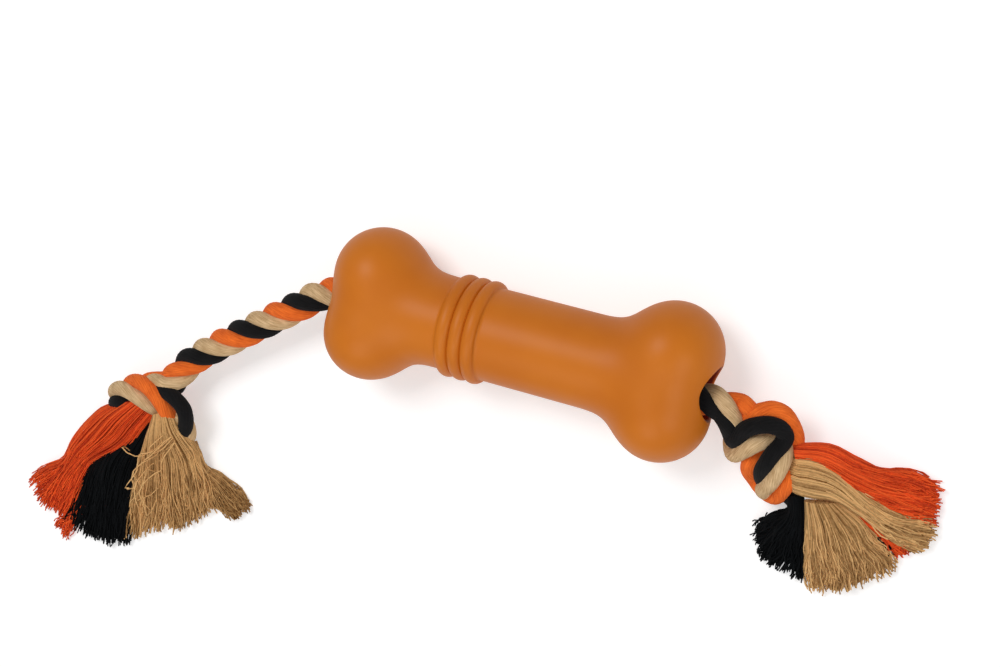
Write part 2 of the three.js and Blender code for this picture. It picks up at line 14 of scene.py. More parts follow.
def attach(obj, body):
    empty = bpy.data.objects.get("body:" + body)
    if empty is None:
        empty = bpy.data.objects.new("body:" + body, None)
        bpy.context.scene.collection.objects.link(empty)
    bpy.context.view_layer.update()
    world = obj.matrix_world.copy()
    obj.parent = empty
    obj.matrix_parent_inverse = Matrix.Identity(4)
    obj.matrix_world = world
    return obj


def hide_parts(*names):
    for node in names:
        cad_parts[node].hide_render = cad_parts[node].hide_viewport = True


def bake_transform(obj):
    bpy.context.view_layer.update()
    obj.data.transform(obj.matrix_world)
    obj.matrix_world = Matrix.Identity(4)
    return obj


MM = 0.001

# Rubber bone, as in the part's source
BONE_LENGTH = 175.0
LOBE_RADIUS = 20.5
LOBE_OFFSET = 13.5
LOBE_THICKNESS = 47.0
SHAFT_DIAMETER = 40.6
LOBE_BLEND = 11.0
NECK_BLEND = 10.5
REST_FLAT_DEPTH = 0.5
BORE_DIAMETER = 22.5
LIP_RADIUS = 1.4
RIB_COUNT = 3
RIB_WIDTH = 6.0
RIB_HEIGHT = 2.4
RIB_GROUP_END = -12.0

# Rope, as in the part's source
ROPE_DIAMETER = 14.0
LAY_PITCH_PER_DIAMETER = 2.3
MOUTH_STANDOFF = 3.0
REST_GAP = 0.25
LEFT_MOUTH_SIDE = 0.2
RIGHT_MOUTH_SIDE = -0.9
MOUTH_SAG = 0.42
BEIGE_START_ANGLE = -35.0
LEFT_FREE_TURN = 218.7
LEFT_FREE_LENGTH = 91.0
LAYOUT_DIAMETER = 14.0
LEFT_ENTRY_HEIGHT = 16.5
LEFT_KNOT_START = (-4, -7.4, 17)
DYES = ("beige", "black", "orange")

# The right half is laid tighter than in the part's source, so it leaves the mouth nearer to the photograph
RIGHT_PITCH_PER_DIAMETER = 2.175

# Camera, from the photograph
CAMERA_PLACE = (191.3, 110.9, 623.0)
CAMERA_TARGET = (-8.6, 1.3, 23.0)
CAMERA_UP = (-0.246, 0.965, -0.094)
CAMERA_LENS = 54.0
CAMERA_SENSOR = 36.0
NEAREST_SEEN = 10.0

# Sizes that follow from the ones above
HALF_LENGTH = BONE_LENGTH / 2
LOBE_X = HALF_LENGTH - LOBE_RADIUS
AXIS_HEIGHT = LOBE_THICKNESS / 2 - REST_FLAT_DEPTH
BORE_RADIUS = BORE_DIAMETER / 2
MOUTH_X = HALF_LENGTH + MOUTH_STANDOFF
ROPE_ROOM = BORE_RADIUS - ROPE_DIAMETER / 2 - REST_GAP
ROPE_HEIGHT = AXIS_HEIGHT - ROPE_ROOM * MOUTH_SAG
LAYOUT_SCALE = ROPE_DIAMETER / LAYOUT_DIAMETER
LEFT_MOUTH = np.array([-MOUTH_X, ROPE_ROOM * LEFT_MOUTH_SIDE, ROPE_HEIGHT])
RIGHT_MOUTH = np.array([MOUTH_X, ROPE_ROOM * RIGHT_MOUTH_SIDE, ROPE_HEIGHT])
MIDDLE = (LEFT_MOUTH + RIGHT_MOUTH) / 2

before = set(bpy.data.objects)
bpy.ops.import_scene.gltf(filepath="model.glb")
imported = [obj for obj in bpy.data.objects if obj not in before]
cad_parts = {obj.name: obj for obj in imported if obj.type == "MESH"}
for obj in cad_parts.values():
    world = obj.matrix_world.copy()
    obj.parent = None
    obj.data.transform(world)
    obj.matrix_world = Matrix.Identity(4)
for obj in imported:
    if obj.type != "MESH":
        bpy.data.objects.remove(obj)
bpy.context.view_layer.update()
scene = bpy.context.scene
scene.view_settings.view_transform = "Standard"


def add_node(tree, kind, inputs=None, **settings):
    """Adds a node with its settings, and gives each named or numbered input a value or a link.

    A node given for an input stands for its first output.
    """
    node = tree.nodes.new(kind)
    for name, value in settings.items():
        setattr(node, name, value)
    for socket, value in (inputs or {}).items():
        if isinstance(value, bpy.types.Node):
            value = value.outputs[0]
        if isinstance(value, bpy.types.NodeSocket):
            tree.links.new(value, node.inputs[socket])
        else:
            node.inputs[socket].default_value = value
    return node


def new_material(name):
    """A material with an empty node tree, and the tree."""
    material = bpy.data.materials.new(name)
    material.use_nodes = True
    material.node_tree.nodes.clear()
    return material, material.node_tree


def linear(hex_colour):
    """An sRGB hex colour as the linear RGBA that a shader takes."""
    channels = [int(hex_colour[i:i + 2], 16) / 255 for i in (1, 3, 5)]
    return tuple(c / 12.92 if c <= 0.04045 else ((c + 0.055) / 1.055) ** 2.4 for c in channels) + (1.0,)


def make_camera():
    """The camera stands where the photograph was taken from, rolled as it was."""
    place = Vector(CAMERA_PLACE) * MM
    ahead = (Vector(CAMERA_TARGET) * MM - place).normalized()
    right = ahead.cross(Vector(CAMERA_UP)).normalized()
    up = right.cross(ahead)
    data = bpy.data.cameras.new("photo_camera")
    data.sensor_width = CAMERA_SENSOR
    data.lens = CAMERA_LENS
    data.clip_start = NEAREST_SEEN * MM
    camera = bpy.data.objects.new("photo_camera", data)
    turn = Matrix((right, up, -ahead)).transposed().to_4x4()
    camera.matrix_world = Matrix.Translation(place) @ turn
    scene.collection.objects.link(camera)
    scene.camera = camera


make_camera()


# Rope: routes, lay and strands

STRAND_OFFSET_SHARE = 0.25
STEP = 0.6
# Points between two given ones and along a cubic curve, before they are spaced evenly
SPAN_STEPS = 40
CURVE_STEPS = 200
SHORTEST_SPAN = 1e-9
# How far the free rope is drawn out from the mouth and from the knot, in shares of the way between them
MOUTH_BEND_SHARE = 0.4
KNOT_BEND_SHARE = 0.12
# Points of the left line: shares of the way through the bore, then some of the free rope's points
BORE_SHARES = (0.5, 0.93)
FREE_START = 12
FREE_STRIDE = 16
# A strand's way through the knot is drawn from this many steps back along its lay
LEAD_STEPS = 12


def floor_direction(turn):
    """A level direction, by its turn seen from above."""
    return np.array([math.cos(math.radians(turn)), math.sin(math.radians(turn)), 0.0])


def laid_out(anchor, places):
    """Points of a knot on the floor plan, from where the rope comes in, with heights above the floor."""
    return np.array(places, float) * LAYOUT_SCALE + [anchor[0], anchor[1], 0.0]


def mixed(t, low, high, at_low, at_high):
    """Points on the way from one point to another, as t goes from low to high."""
    return (high - t) / (high - low) * at_low + (t - low) / (high - low) * at_high


def smooth_line(points, spacing):
    """A smooth line through the points (centripetal Catmull-Rom), in even steps of about the spacing."""
    points = np.asarray(points, float)
    before = 2 * points[0] - points[1]
    after = 2 * points[-1] - points[-2]
    padded = np.vstack([before, points, after])
    dense = []
    for i in range(len(points) - 1):
        p0, p1, p2, p3 = padded[i:i + 4]
        knots = [0.0]
        for a, b in ((p0, p1), (p1, p2), (p2, p3)):
            knots.append(knots[-1] + max(np.linalg.norm(b - a), SHORTEST_SPAN) ** 0.5)
        t = np.linspace(knots[1], knots[2], SPAN_STEPS, endpoint=False)[:, None]
        a1 = mixed(t, knots[0], knots[1], p0, p1)
        a2 = mixed(t, knots[1], knots[2], p1, p2)
        a3 = mixed(t, knots[2], knots[3], p2, p3)
        b1 = mixed(t, knots[0], knots[2], a1, a2)
        b2 = mixed(t, knots[1], knots[3], a2, a3)
        dense.append(mixed(t, knots[1], knots[2], b1, b2))
    return even_steps(np.vstack(dense + [points[-1:]]), spacing)


def even_steps(line, spacing):
    """The same line in even steps of about the given spacing."""
    lengths = lengths_along(line)
    steps = max(int(round(lengths[-1] / spacing)), 2)
    wanted = np.linspace(0, lengths[-1], steps + 1)
    return np.stack([np.interp(wanted, lengths, line[:, i]) for i in range(3)], axis=1)


def lengths_along(line):
    """The way along a line to each of its points."""
    return np.concatenate([[0], np.cumsum(np.linalg.norm(np.diff(line, axis=0), axis=1))])


def bezier(points, spacing):
    """A cubic curve from four points, in even steps."""
    t = np.linspace(0, 1, CURVE_STEPS)[:, None]
    a, b, c, d = [np.asarray(p, float) for p in points]
    line = (1 - t) ** 3 * a + 3 * (1 - t) ** 2 * t * b + 3 * (1 - t) * t ** 2 * c + t ** 3 * d
    return even_steps(line, spacing)


def carried_frames(line, start_side):
    """Side and across directions carried along a line without twist."""
    tangents = np.gradient(line, axis=0)
    tangents /= np.linalg.norm(tangents, axis=1)[:, None]
    sides = []
    side = np.asarray(start_side, float)
    for tangent in tangents:
        side = side - tangent * side.dot(tangent)
        side /= np.linalg.norm(side)
        sides.append(side)
    sides = np.array(sides)
    return sides, np.cross(tangents, sides)


def lay_rope(line, start, pitch):
    """A stretch of rope: its line, frames and the turn of its lay, going on from the start state."""
    sides, across = carried_frames(line, start["side"])
    angles = start["angle"] + 2 * math.pi * lengths_along(line) / pitch
    return {"line": line, "sides": sides, "across": across, "angles": angles, "hand": start["hand"]}


def strand_line(stretch, strand):
    """The centre line of one strand of a stretch."""
    angle = stretch["angles"] + strand * 2 * math.pi / 3 * stretch["hand"]
    out = np.cos(angle)[:, None] * stretch["sides"] + np.sin(angle)[:, None] * stretch["across"]
    return stretch["line"] + STRAND_OFFSET_SHARE * ROPE_DIAMETER * out


LEFT_ENTRY = LEFT_MOUTH + LEFT_FREE_LENGTH * floor_direction(LEFT_FREE_TURN)
LEFT_ENTRY[2] = LEFT_ENTRY_HEIGHT * LAYOUT_SCALE
left_knot_start = laid_out(LEFT_ENTRY, [LEFT_KNOT_START])[0]


def left_free_line():
    """The free rope from the left mouth to the left knot, as in the part's source."""
    to_entry = LEFT_ENTRY - LEFT_MOUTH
    into_knot = left_knot_start - LEFT_ENTRY
    into_knot = into_knot / np.linalg.norm(into_knot)
    bend = LEFT_ENTRY - into_knot * np.linalg.norm(to_entry) * KNOT_BEND_SHARE
    return bezier([LEFT_MOUTH, LEFT_MOUTH + MOUTH_BEND_SHARE * to_entry, bend, LEFT_ENTRY], STEP)


UP = np.array([0.0, 0.0, 1.0])
left_start = {"side": UP, "angle": -math.radians(BEIGE_START_ANGLE), "hand": -1}
right_start = {"side": UP, "angle": math.radians(BEIGE_START_ANGLE), "hand": 1}

# The ways of the strands through the knots, close to the part's source; each goes on from where the lay ends
LEFT_KNOT_WAYS = {
    "beige": [
        (-12.2, -8.4, 19), (-18.8, -15.6, 12), (-16.2, -21.2, 10), (-11.7, -22.2, 14.5), (-13, -20.3, 18.5),
        (-16.8, -18, 21), (-23.4, -16.4, 20.5), (-31.6, -17.4, 16.5), (-37.5, -22.4, 9.5),
        (-33.7, -25.9, 5), (-19.5, -26.9, 4.6), (-5.5, -29.1, 5), (4.5, -33.4, 8.5), (6.5, -27.9, 12.5),
        (3.5, -22.9, 14.5), (-1.5, -24.9, 15.5), (-6.5, -28.9, 16), (-7.5, -33.9, 15.5),
        (-7.5, -37.9, 14.5),
    ],
    "black": [
        (-7.7, -10.5, 20), (1, -12.1, 22), (6.7, -16.3, 21), (7.6, -22.4, 18), (4.3, -30.1, 13),
        (-4.5, -32.9, 6.5), (-16.5, -31.9, 4.6), (-28.5, -30.7, 4.6), (-35.5, -28.4, 8), (-34.5, -25.7, 13),
        (-29, -24, 16.5), (-24, -25.9, 14.5), (-22, -30.9, 12.5), (-21.4, -35.6, 11.5),
    ],
    "orange": [
        (-19.5, -11.2, 13), (-18.7, -18.1, 8), (-10.2, -20.8, 8), (-3.8, -23, 12), (-1.7, -22.5, 18),
        (-3.7, -18.1, 21.5), (-7.7, -13.3, 23.5), (-13.9, -10.6, 22.5), (-21.8, -11.1, 18.5),
        (-29.1, -15.3, 12), (-31.6, -21.4, 7), (-27, -24.4, 8.5), (-27.5, -27.9, 11), (-30.2, -31, 11.5),
        (-30.8, -34.9, 11.5),
    ],
}
RIGHT_KNOT_WAYS = {
    "beige": [
        (5.8, -3.9, 21), (7.2, -9.2, 14.5), (5.5, -16, 9), (8, -20.4, 12), (12.8, -16.6, 18),
        (17, -12.4, 20.5), (20.4, -10.4, 17.2), (24.4, -9.8, 13.2), (27.7, -11.1, 15.5), (29.2, -15.2, 19),
        (28.5, -20.4, 19.5), (26.1, -27, 16), (23.3, -32.2, 10), (24.2, -33.6, 5), (28.7, -28.7, 5.5),
        (34, -21.9, 11.2), (38.1, -21.5, 12),
    ],
    "black": [
        (3.6, -6.7, 22), (5.5, -10.9, 17.8), (7.3, -14.2, 15.8), (8.8, -12.8, 18.5), (12.3, -7, 22.5),
        (16.5, -4.1, 24), (21.5, -2.5, 24), (25.8, -3.4, 21.5), (28, -6.8, 19), (27, -10.5, 20.2),
        (25.2, -13.8, 21.8), (23.4, -18.6, 20.8), (21.8, -23.9, 16),
        (23, -28.7, 9.5), (29.6, -31.4, 6.5), (33.4, -32.2, 7.5), (36, -33.6, 7.5),
    ],
    "orange": [
        (7.1, 2.4, 18), (10.2, 1.6, 20), (12.3, -1, 17), (12.4, -5.7, 11.5), (10.4, -8.5, 11),
        (10.1, -5.3, 15.5), (12.8, -1.4, 19), (16.6, 1.5, 20.5), (20.7, 3.3, 20.5), (25.2, 2.4, 19),
        (28.7, -1.2, 17), (31.2, -6.2, 13.5), (31.8, -12.3, 9.5), (32.4, -18.8, 13), (32.6, -24.5, 14.5),
        (30.9, -29.9, 11.5), (28.1, -34.3, 7), (23.4, -34, 4.5), (18.2, -29.5, 6), (15.5, -24.9, 11),
        (16.4, -20.6, 14), (18.2, -17.5, 11.5), (22.9, -17.3, 7.5), (29.1, -14.8, 7), (33.5, -12.9, 10.2),
        (37.6, -12.7, 11),
    ],
}


def strand_lines(line, start, pitch_per_diameter, anchor, ways):
    """Each strand of a rope: its lay along the line, then its own way through the knot."""
    stretch = lay_rope(line, start, pitch_per_diameter * ROPE_DIAMETER)
    lines = {}
    for number, dye in enumerate(DYES):
        laid = strand_line(stretch, number)
        way = smooth_line(np.vstack([laid[-LEAD_STEPS], laid[-1], laid_out(anchor, ways[dye])]), STEP)
        onward = nearest(way, laid[-1]) + 1
        lines[dye] = np.vstack([laid, way[onward:]])
    return lines


def nearest(line, point):
    """The number of the line's point that is nearest to a point."""
    return int(np.argmin(np.linalg.norm(line - np.asarray(point), axis=1)))


left_free = left_free_line()
in_left_bore = [MIDDLE + share * (LEFT_MOUTH - MIDDLE) for share in BORE_SHARES]
left_line = smooth_line([MIDDLE, *in_left_bore, *left_free[FREE_START::FREE_STRIDE], left_knot_start], STEP)
right_line = even_steps(np.array([MIDDLE, RIGHT_MOUTH]), STEP)
left_strands = strand_lines(left_line, left_start, LAY_PITCH_PER_DIAMETER, LEFT_ENTRY, LEFT_KNOT_WAYS)
right_strands = strand_lines(right_line, right_start, RIGHT_PITCH_PER_DIAMETER, RIGHT_MOUTH, RIGHT_KNOT_WAYS)

YARNS_ROUND = 18
POINTS_PER_YARN = 4
YARN_RELIEF = 0.10
# About the mean of a yarn's bulge, taken off so that the strand keeps its radius
MEAN_BULGE = 0.64
STRAND_RADIUS = 3.6
YARN_PITCH_PER_DIAMETER = 9.0


def strand_pieces(names, line, cuts, yarn_turn, material):
    """A strand cut into closed pieces; its skin is yarns side by side, with a UV map in millimetres."""
    sides, across = carried_frames(line, UP)
    lengths = lengths_along(line)
    around = np.linspace(0, 2 * math.pi, YARNS_ROUND * POINTS_PER_YARN, endpoint=False)
    bulge = np.abs(np.cos(YARNS_ROUND * around / 2)) - MEAN_BULGE
    radius = (STRAND_RADIUS + YARN_RELIEF * bulge)[:, None]
    rings = []
    for i, point in enumerate(line):
        angle = around + yarn_turn * lengths[i]
        out = np.cos(angle)[:, None] * sides[i] + np.sin(angle)[:, None] * across[i]
        rings.append(point + radius * out)
    bounds = [0, *cuts, len(line) - 1]
    pieces = []
    for name, first, last in zip(names, bounds[:-1], bounds[1:]):
        pieces.append(tube_piece(name, np.array(rings[first:last + 1]), lengths[first:last + 1], material))
    return pieces


def tube_piece(name, rings, lengths, material):
    """A closed tube from rings of points; the edges of its flat ends are sharp."""
    rows, count = rings.shape[:2]
    middles = [rings[0].mean(axis=0), rings[-1].mean(axis=0)]
    vertices = np.vstack([rings.reshape(-1, 3), *middles]) * MM
    width = 2 * math.pi * STRAND_RADIUS / count
    faces = []
    uvs = []
    for i in range(rows - 1):
        low, high = lengths[i], lengths[i + 1]
        for j in range(count):
            k = (j + 1) % count
            faces.append((i * count + j, i * count + k, (i + 1) * count + k, (i + 1) * count + j))
            uvs += [(low, j * width), (low, (j + 1) * width), (high, (j + 1) * width), (high, j * width)]
    tip = rows * count
    last_ring = (rows - 1) * count
    for j in range(count):
        k = (j + 1) % count
        faces.append((tip, k, j))
        faces.append((tip + 1, last_ring + j, last_ring + k))
        uvs += [(lengths[0], 0), (lengths[0], (j + 1) * width), (lengths[0], j * width)]
        uvs += [(lengths[-1], 0), (lengths[-1], j * width), (lengths[-1], (j + 1) * width)]
    mesh = bpy.data.meshes.new(name)
    mesh.from_pydata(vertices.tolist(), [], faces)
    layer = mesh.uv_layers.new(name="fibre")
    layer.data.foreach_set("uv", np.array(uvs, np.float32).ravel())
    mesh.shade_smooth()
    ends = np.zeros(2 * len(mesh.edges), np.int32)
    mesh.edges.foreach_get("vertices", ends)
    ends = ends.reshape(-1, 2)
    at_start = (ends < count).all(axis=1)
    at_end = ((ends >= last_ring) & (ends < tip)).all(axis=1)
    sharp = mesh.attributes.new("sharp_edge", "BOOLEAN", "EDGE")
    sharp.data.foreach_set("value", at_start | at_end)
    mesh.materials.append(material)
    piece = bpy.data.objects.new(name, mesh)
    scene.collection.objects.link(piece)
    return piece


COTTON_TONES = {
    "beige": ("#e0c094", "#a07a4c"),
    "black": ("#151415", "#070708"),
    "orange": ("#f8782c", "#c44e16"),
}
# Cotton fibres are about 0.02 mm thick, too fine to show, so they are drawn as bundles as coarse as these
FIBRE_LENGTH = 5.556
FIBRE_WIDTH = 0.4545
# Patches of uneven dye
MOTTLE_SIZE = 4.545
# How much of a strand's tone follows its fibres; the rest is mottled
FIBRE_SHARE = 0.75


def cotton_strand(dye):
    """Soft-laid cotton strand: fine fibres lie along it, matt, with a faint bloom of fluff."""
    material, tree = new_material(f"{dye}_dyed_cotton_strand")
    place = add_node(tree, "ShaderNodeTexCoord").outputs["UV"]
    drawn = add_node(
        tree, "ShaderNodeMapping", {"Vector": place, "Scale": (1 / FIBRE_LENGTH, 1 / FIBRE_WIDTH, 1.0)})
    fibres = add_node(
        tree, "ShaderNodeTexNoise",
        {"Vector": drawn, "Scale": 1.0, "Detail": 6.0, "Roughness": 0.65}).outputs["Fac"]
    mottled = add_node(
        tree, "ShaderNodeTexNoise", {"Vector": place, "Scale": 1 / MOTTLE_SIZE, "Detail": 2.0}).outputs["Fac"]
    mottled = add_node(tree, "ShaderNodeMath", {0: mottled, 1: 1 - FIBRE_SHARE}, operation="MULTIPLY")
    tone = add_node(
        tree, "ShaderNodeMath", {0: fibres, 1: FIBRE_SHARE, 2: mottled}, operation="MULTIPLY_ADD")
    ramp = add_node(tree, "ShaderNodeValToRGB", {"Fac": tone})
    pale, deep = COTTON_TONES[dye]
    for element, (position, colour) in zip(ramp.color_ramp.elements, ((0.34, deep), (0.62, pale))):
        element.position = position
        element.color = linear(colour)
    relief = add_node(tree, "ShaderNodeBump", {"Height": fibres, "Strength": 0.6, "Distance": 0.25 * MM})
    shader = add_node(
        tree, "ShaderNodeBsdfPrincipled",
        {"Base Color": ramp, "Normal": relief, "Roughness": 0.88,
         "Specular IOR Level": 0.12, "Sheen Weight": 0.03, "Sheen Roughness": 0.6})
    add_node(tree, "ShaderNodeOutputMaterial", {"Surface": shader})
    return material


strand_cotton = {dye: cotton_strand(dye) for dye in DYES}


left_pieces = {}
right_pieces = {}
YARN_TURN = 2 * math.pi / (YARN_PITCH_PER_DIAMETER * 2 * STRAND_RADIUS)
for dye in DYES:
    line = left_strands[dye]
    left_pieces[dye] = strand_pieces(
        [f"left_bore_strand_{dye}", f"left_rope_strand_{dye}", f"left_knot_strand_{dye}"], line,
        [nearest(line, LEFT_MOUTH), nearest(line, LEFT_ENTRY)], YARN_TURN, strand_cotton[dye])
    line = right_strands[dye]
    right_pieces[dye] = strand_pieces(
        [f"right_bore_strand_{dye}", f"right_knot_strand_{dye}"], line,
        [nearest(line, RIGHT_MOUTH)], -YARN_TURN, strand_cotton[dye])

# The rope's bore and free pieces are baked in place, the knot pieces go to their knot bodies, and the part's
# own rope pieces are hidden
for dye in DYES:
    in_bore, free, knot = left_pieces[dye]
    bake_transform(in_bore)
    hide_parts(f"bore_rope_left_{dye}")
    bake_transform(free)
    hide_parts(f"left_rope_{dye}")
    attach(knot, "left_knot")
    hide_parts(f"left_knot_{dye}")
    in_right_bore, right_knot = right_pieces[dye]
    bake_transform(in_right_bore)
    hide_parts(f"bore_rope_right_{dye}")
    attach(right_knot, "right_knot")
    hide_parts(f"right_knot_{dye}")


# Rubber bone

RUBBER_TONES = ("#c66c17", "#cd731a")
# Painted shade: the bore's wall is painted darker and redder than the rubber outside, for the shade deep
# inside it
BORE_PAINTED_SHADE = "#6e1606"
# Over how many millimetres the painted shade of the bore fades out round its rim
BORE_SHADE_FADE = 1.0
# Clouds in the mixed rubber, and the mould's grain, too fine to show and so drawn as coarse as this
CLOUD_SIZE = 35.71
GRAIN_SIZE = 0.7143


def natural_rubber():
    """Moulded natural rubber: a warm, uneven orange-brown with a satin skin, with painted shade, darker and
    redder, inside the bore.
    """
    material, tree = new_material("moulded_natural_rubber")
    place = add_node(tree, "ShaderNodeTexCoord").outputs["Object"]
    cloud = add_node(
        tree, "ShaderNodeTexNoise", {"Vector": place, "Scale": 1 / (CLOUD_SIZE * MM), "Detail": 3.0})
    ramp = add_node(tree, "ShaderNodeValToRGB", {"Fac": cloud.outputs["Fac"]})
    deep, pale = RUBBER_TONES
    for element, (position, colour) in zip(ramp.color_ramp.elements, ((0.35, deep), (0.65, pale))):
        element.position = position
        element.color = linear(colour)
    split = add_node(tree, "ShaderNodeSeparateXYZ", {0: place}).outputs
    above = add_node(tree, "ShaderNodeMath", {0: split["Z"], 1: AXIS_HEIGHT * MM}, operation="SUBTRACT")
    from_axis = add_node(tree, "ShaderNodeCombineXYZ", {"Y": split["Y"], "Z": above})
    from_axis = add_node(tree, "ShaderNodeVectorMath", {0: from_axis}, operation="LENGTH").outputs["Value"]
    # Painted shade mask: full on the bore's wall, fading out towards its rim
    bore_shade_mask = add_node(
        tree, "ShaderNodeMapRange",
        {"Value": from_axis, "From Min": (BORE_RADIUS + BORE_SHADE_FADE) * MM, "From Max": BORE_RADIUS * MM})
    colour = add_node(
        tree, "ShaderNodeMix", {0: bore_shade_mask, 6: ramp, 7: linear(BORE_PAINTED_SHADE)}, data_type="RGBA").outputs[2]
    grain = add_node(
        tree, "ShaderNodeTexNoise", {"Vector": place, "Scale": 1 / (GRAIN_SIZE * MM), "Detail": 2.0})
    relief = add_node(
        tree, "ShaderNodeBump", {"Height": grain.outputs["Fac"], "Strength": 0.05, "Distance": 0.1 * MM})
    shader = add_node(
        tree, "ShaderNodeBsdfPrincipled",
        {"Base Color": colour, "Normal": relief, "Roughness": 0.42, "Specular IOR Level": 0.22})
    add_node(tree, "ShaderNodeOutputMaterial", {"Surface": shader})
    return material


rubber = natural_rubber()
BONE_AZIMUTHS = 160
END_ROWS = 36
LEFT_SHAFT_ROWS = 26
RIB_ROWS = 14
RIGHT_SHAFT_ROWS = 48
LIP_ROWS = 6
BORE_ROWS = 24
# The rays of an end start at a share of the lobes' place, and the bore's rows end at one of the half length
END_RAYS_SHARE = 0.88
BORE_ROWS_SHARE = 0.86
# How far before the lobes' middle the shaft ends
SHAFT_SETBACK = 6.0
# Blender's smooth minimum is rounder than the source's, so its size is half as large again
BLEND_RATIO = 1.5
# How often the points step towards the skin, and the share of the distance that a step takes
WALK_STEPS = 60
WALK_STRIDE = 0.8
MERGE_DISTANCE = 0.001
# What a row holds, in order, and the scale of each value
ROW_VALUES = {"start": MM, "away": MM, "slope": 1, "drawn": 1, "shift": MM, "rise": MM}


def bone_rows():
    """Rows of the bone's skin, from the left rim over the outside to the right rim and back through the bore.

    Each row is a ring of rays: where they start along the axis and from it, the slope they leave at, whether
    they are drawn out to the skin, and how far the ring is shifted from there.
    """
    end_x = END_RAYS_SHARE * LOBE_X
    rim = BORE_RADIUS + LIP_RADIUS
    rows = []
    for i in range(END_ROWS):
        share = i / END_ROWS
        rows.append((-end_x, rim * (1 - share), math.pi - share * math.pi / 2, 1, 0, 0))
    group_start = RIB_GROUP_END - RIB_COUNT * RIB_WIDTH
    for x in np.linspace(-end_x, group_start, LEFT_SHAFT_ROWS)[:-1]:
        rows.append((x, 0, math.pi / 2, 1, 0, 0))
    for rib in range(RIB_COUNT):
        centre = group_start + RIB_WIDTH * (rib + 0.5)
        for i in range(RIB_ROWS):
            turn = math.pi * i / RIB_ROWS
            rise = RIB_HEIGHT * math.sin(turn)
            rows.append((centre - RIB_WIDTH / 2 * math.cos(turn), 0, math.pi / 2, 1, 0, rise))
    for x in np.linspace(RIB_GROUP_END, end_x, RIGHT_SHAFT_ROWS)[:-1]:
        rows.append((x, 0, math.pi / 2, 1, 0, 0))
    for i in range(END_ROWS + 1):
        share = i / END_ROWS
        rows.append((end_x, rim * share, math.pi / 2 * (1 - share), 1, 0, 0))
    turns = np.linspace(0, math.pi / 2, LIP_ROWS + 1)[1:]
    lip = [(LIP_RADIUS * (1 - math.cos(turn)), LIP_RADIUS * math.sin(turn)) for turn in turns]
    for back, inward in lip:
        rows.append((end_x, rim, 0, 1, -back, -inward))
    bore_end = BORE_ROWS_SHARE * HALF_LENGTH
    for x in np.linspace(bore_end, -bore_end, BORE_ROWS):
        rows.append((x, BORE_RADIUS, 0, 0, 0, 0))
    for back, inward in reversed(lip):
        rows.append((-end_x, rim, math.pi, 1, back, -inward))
    rows.append(rows[0])
    return rows


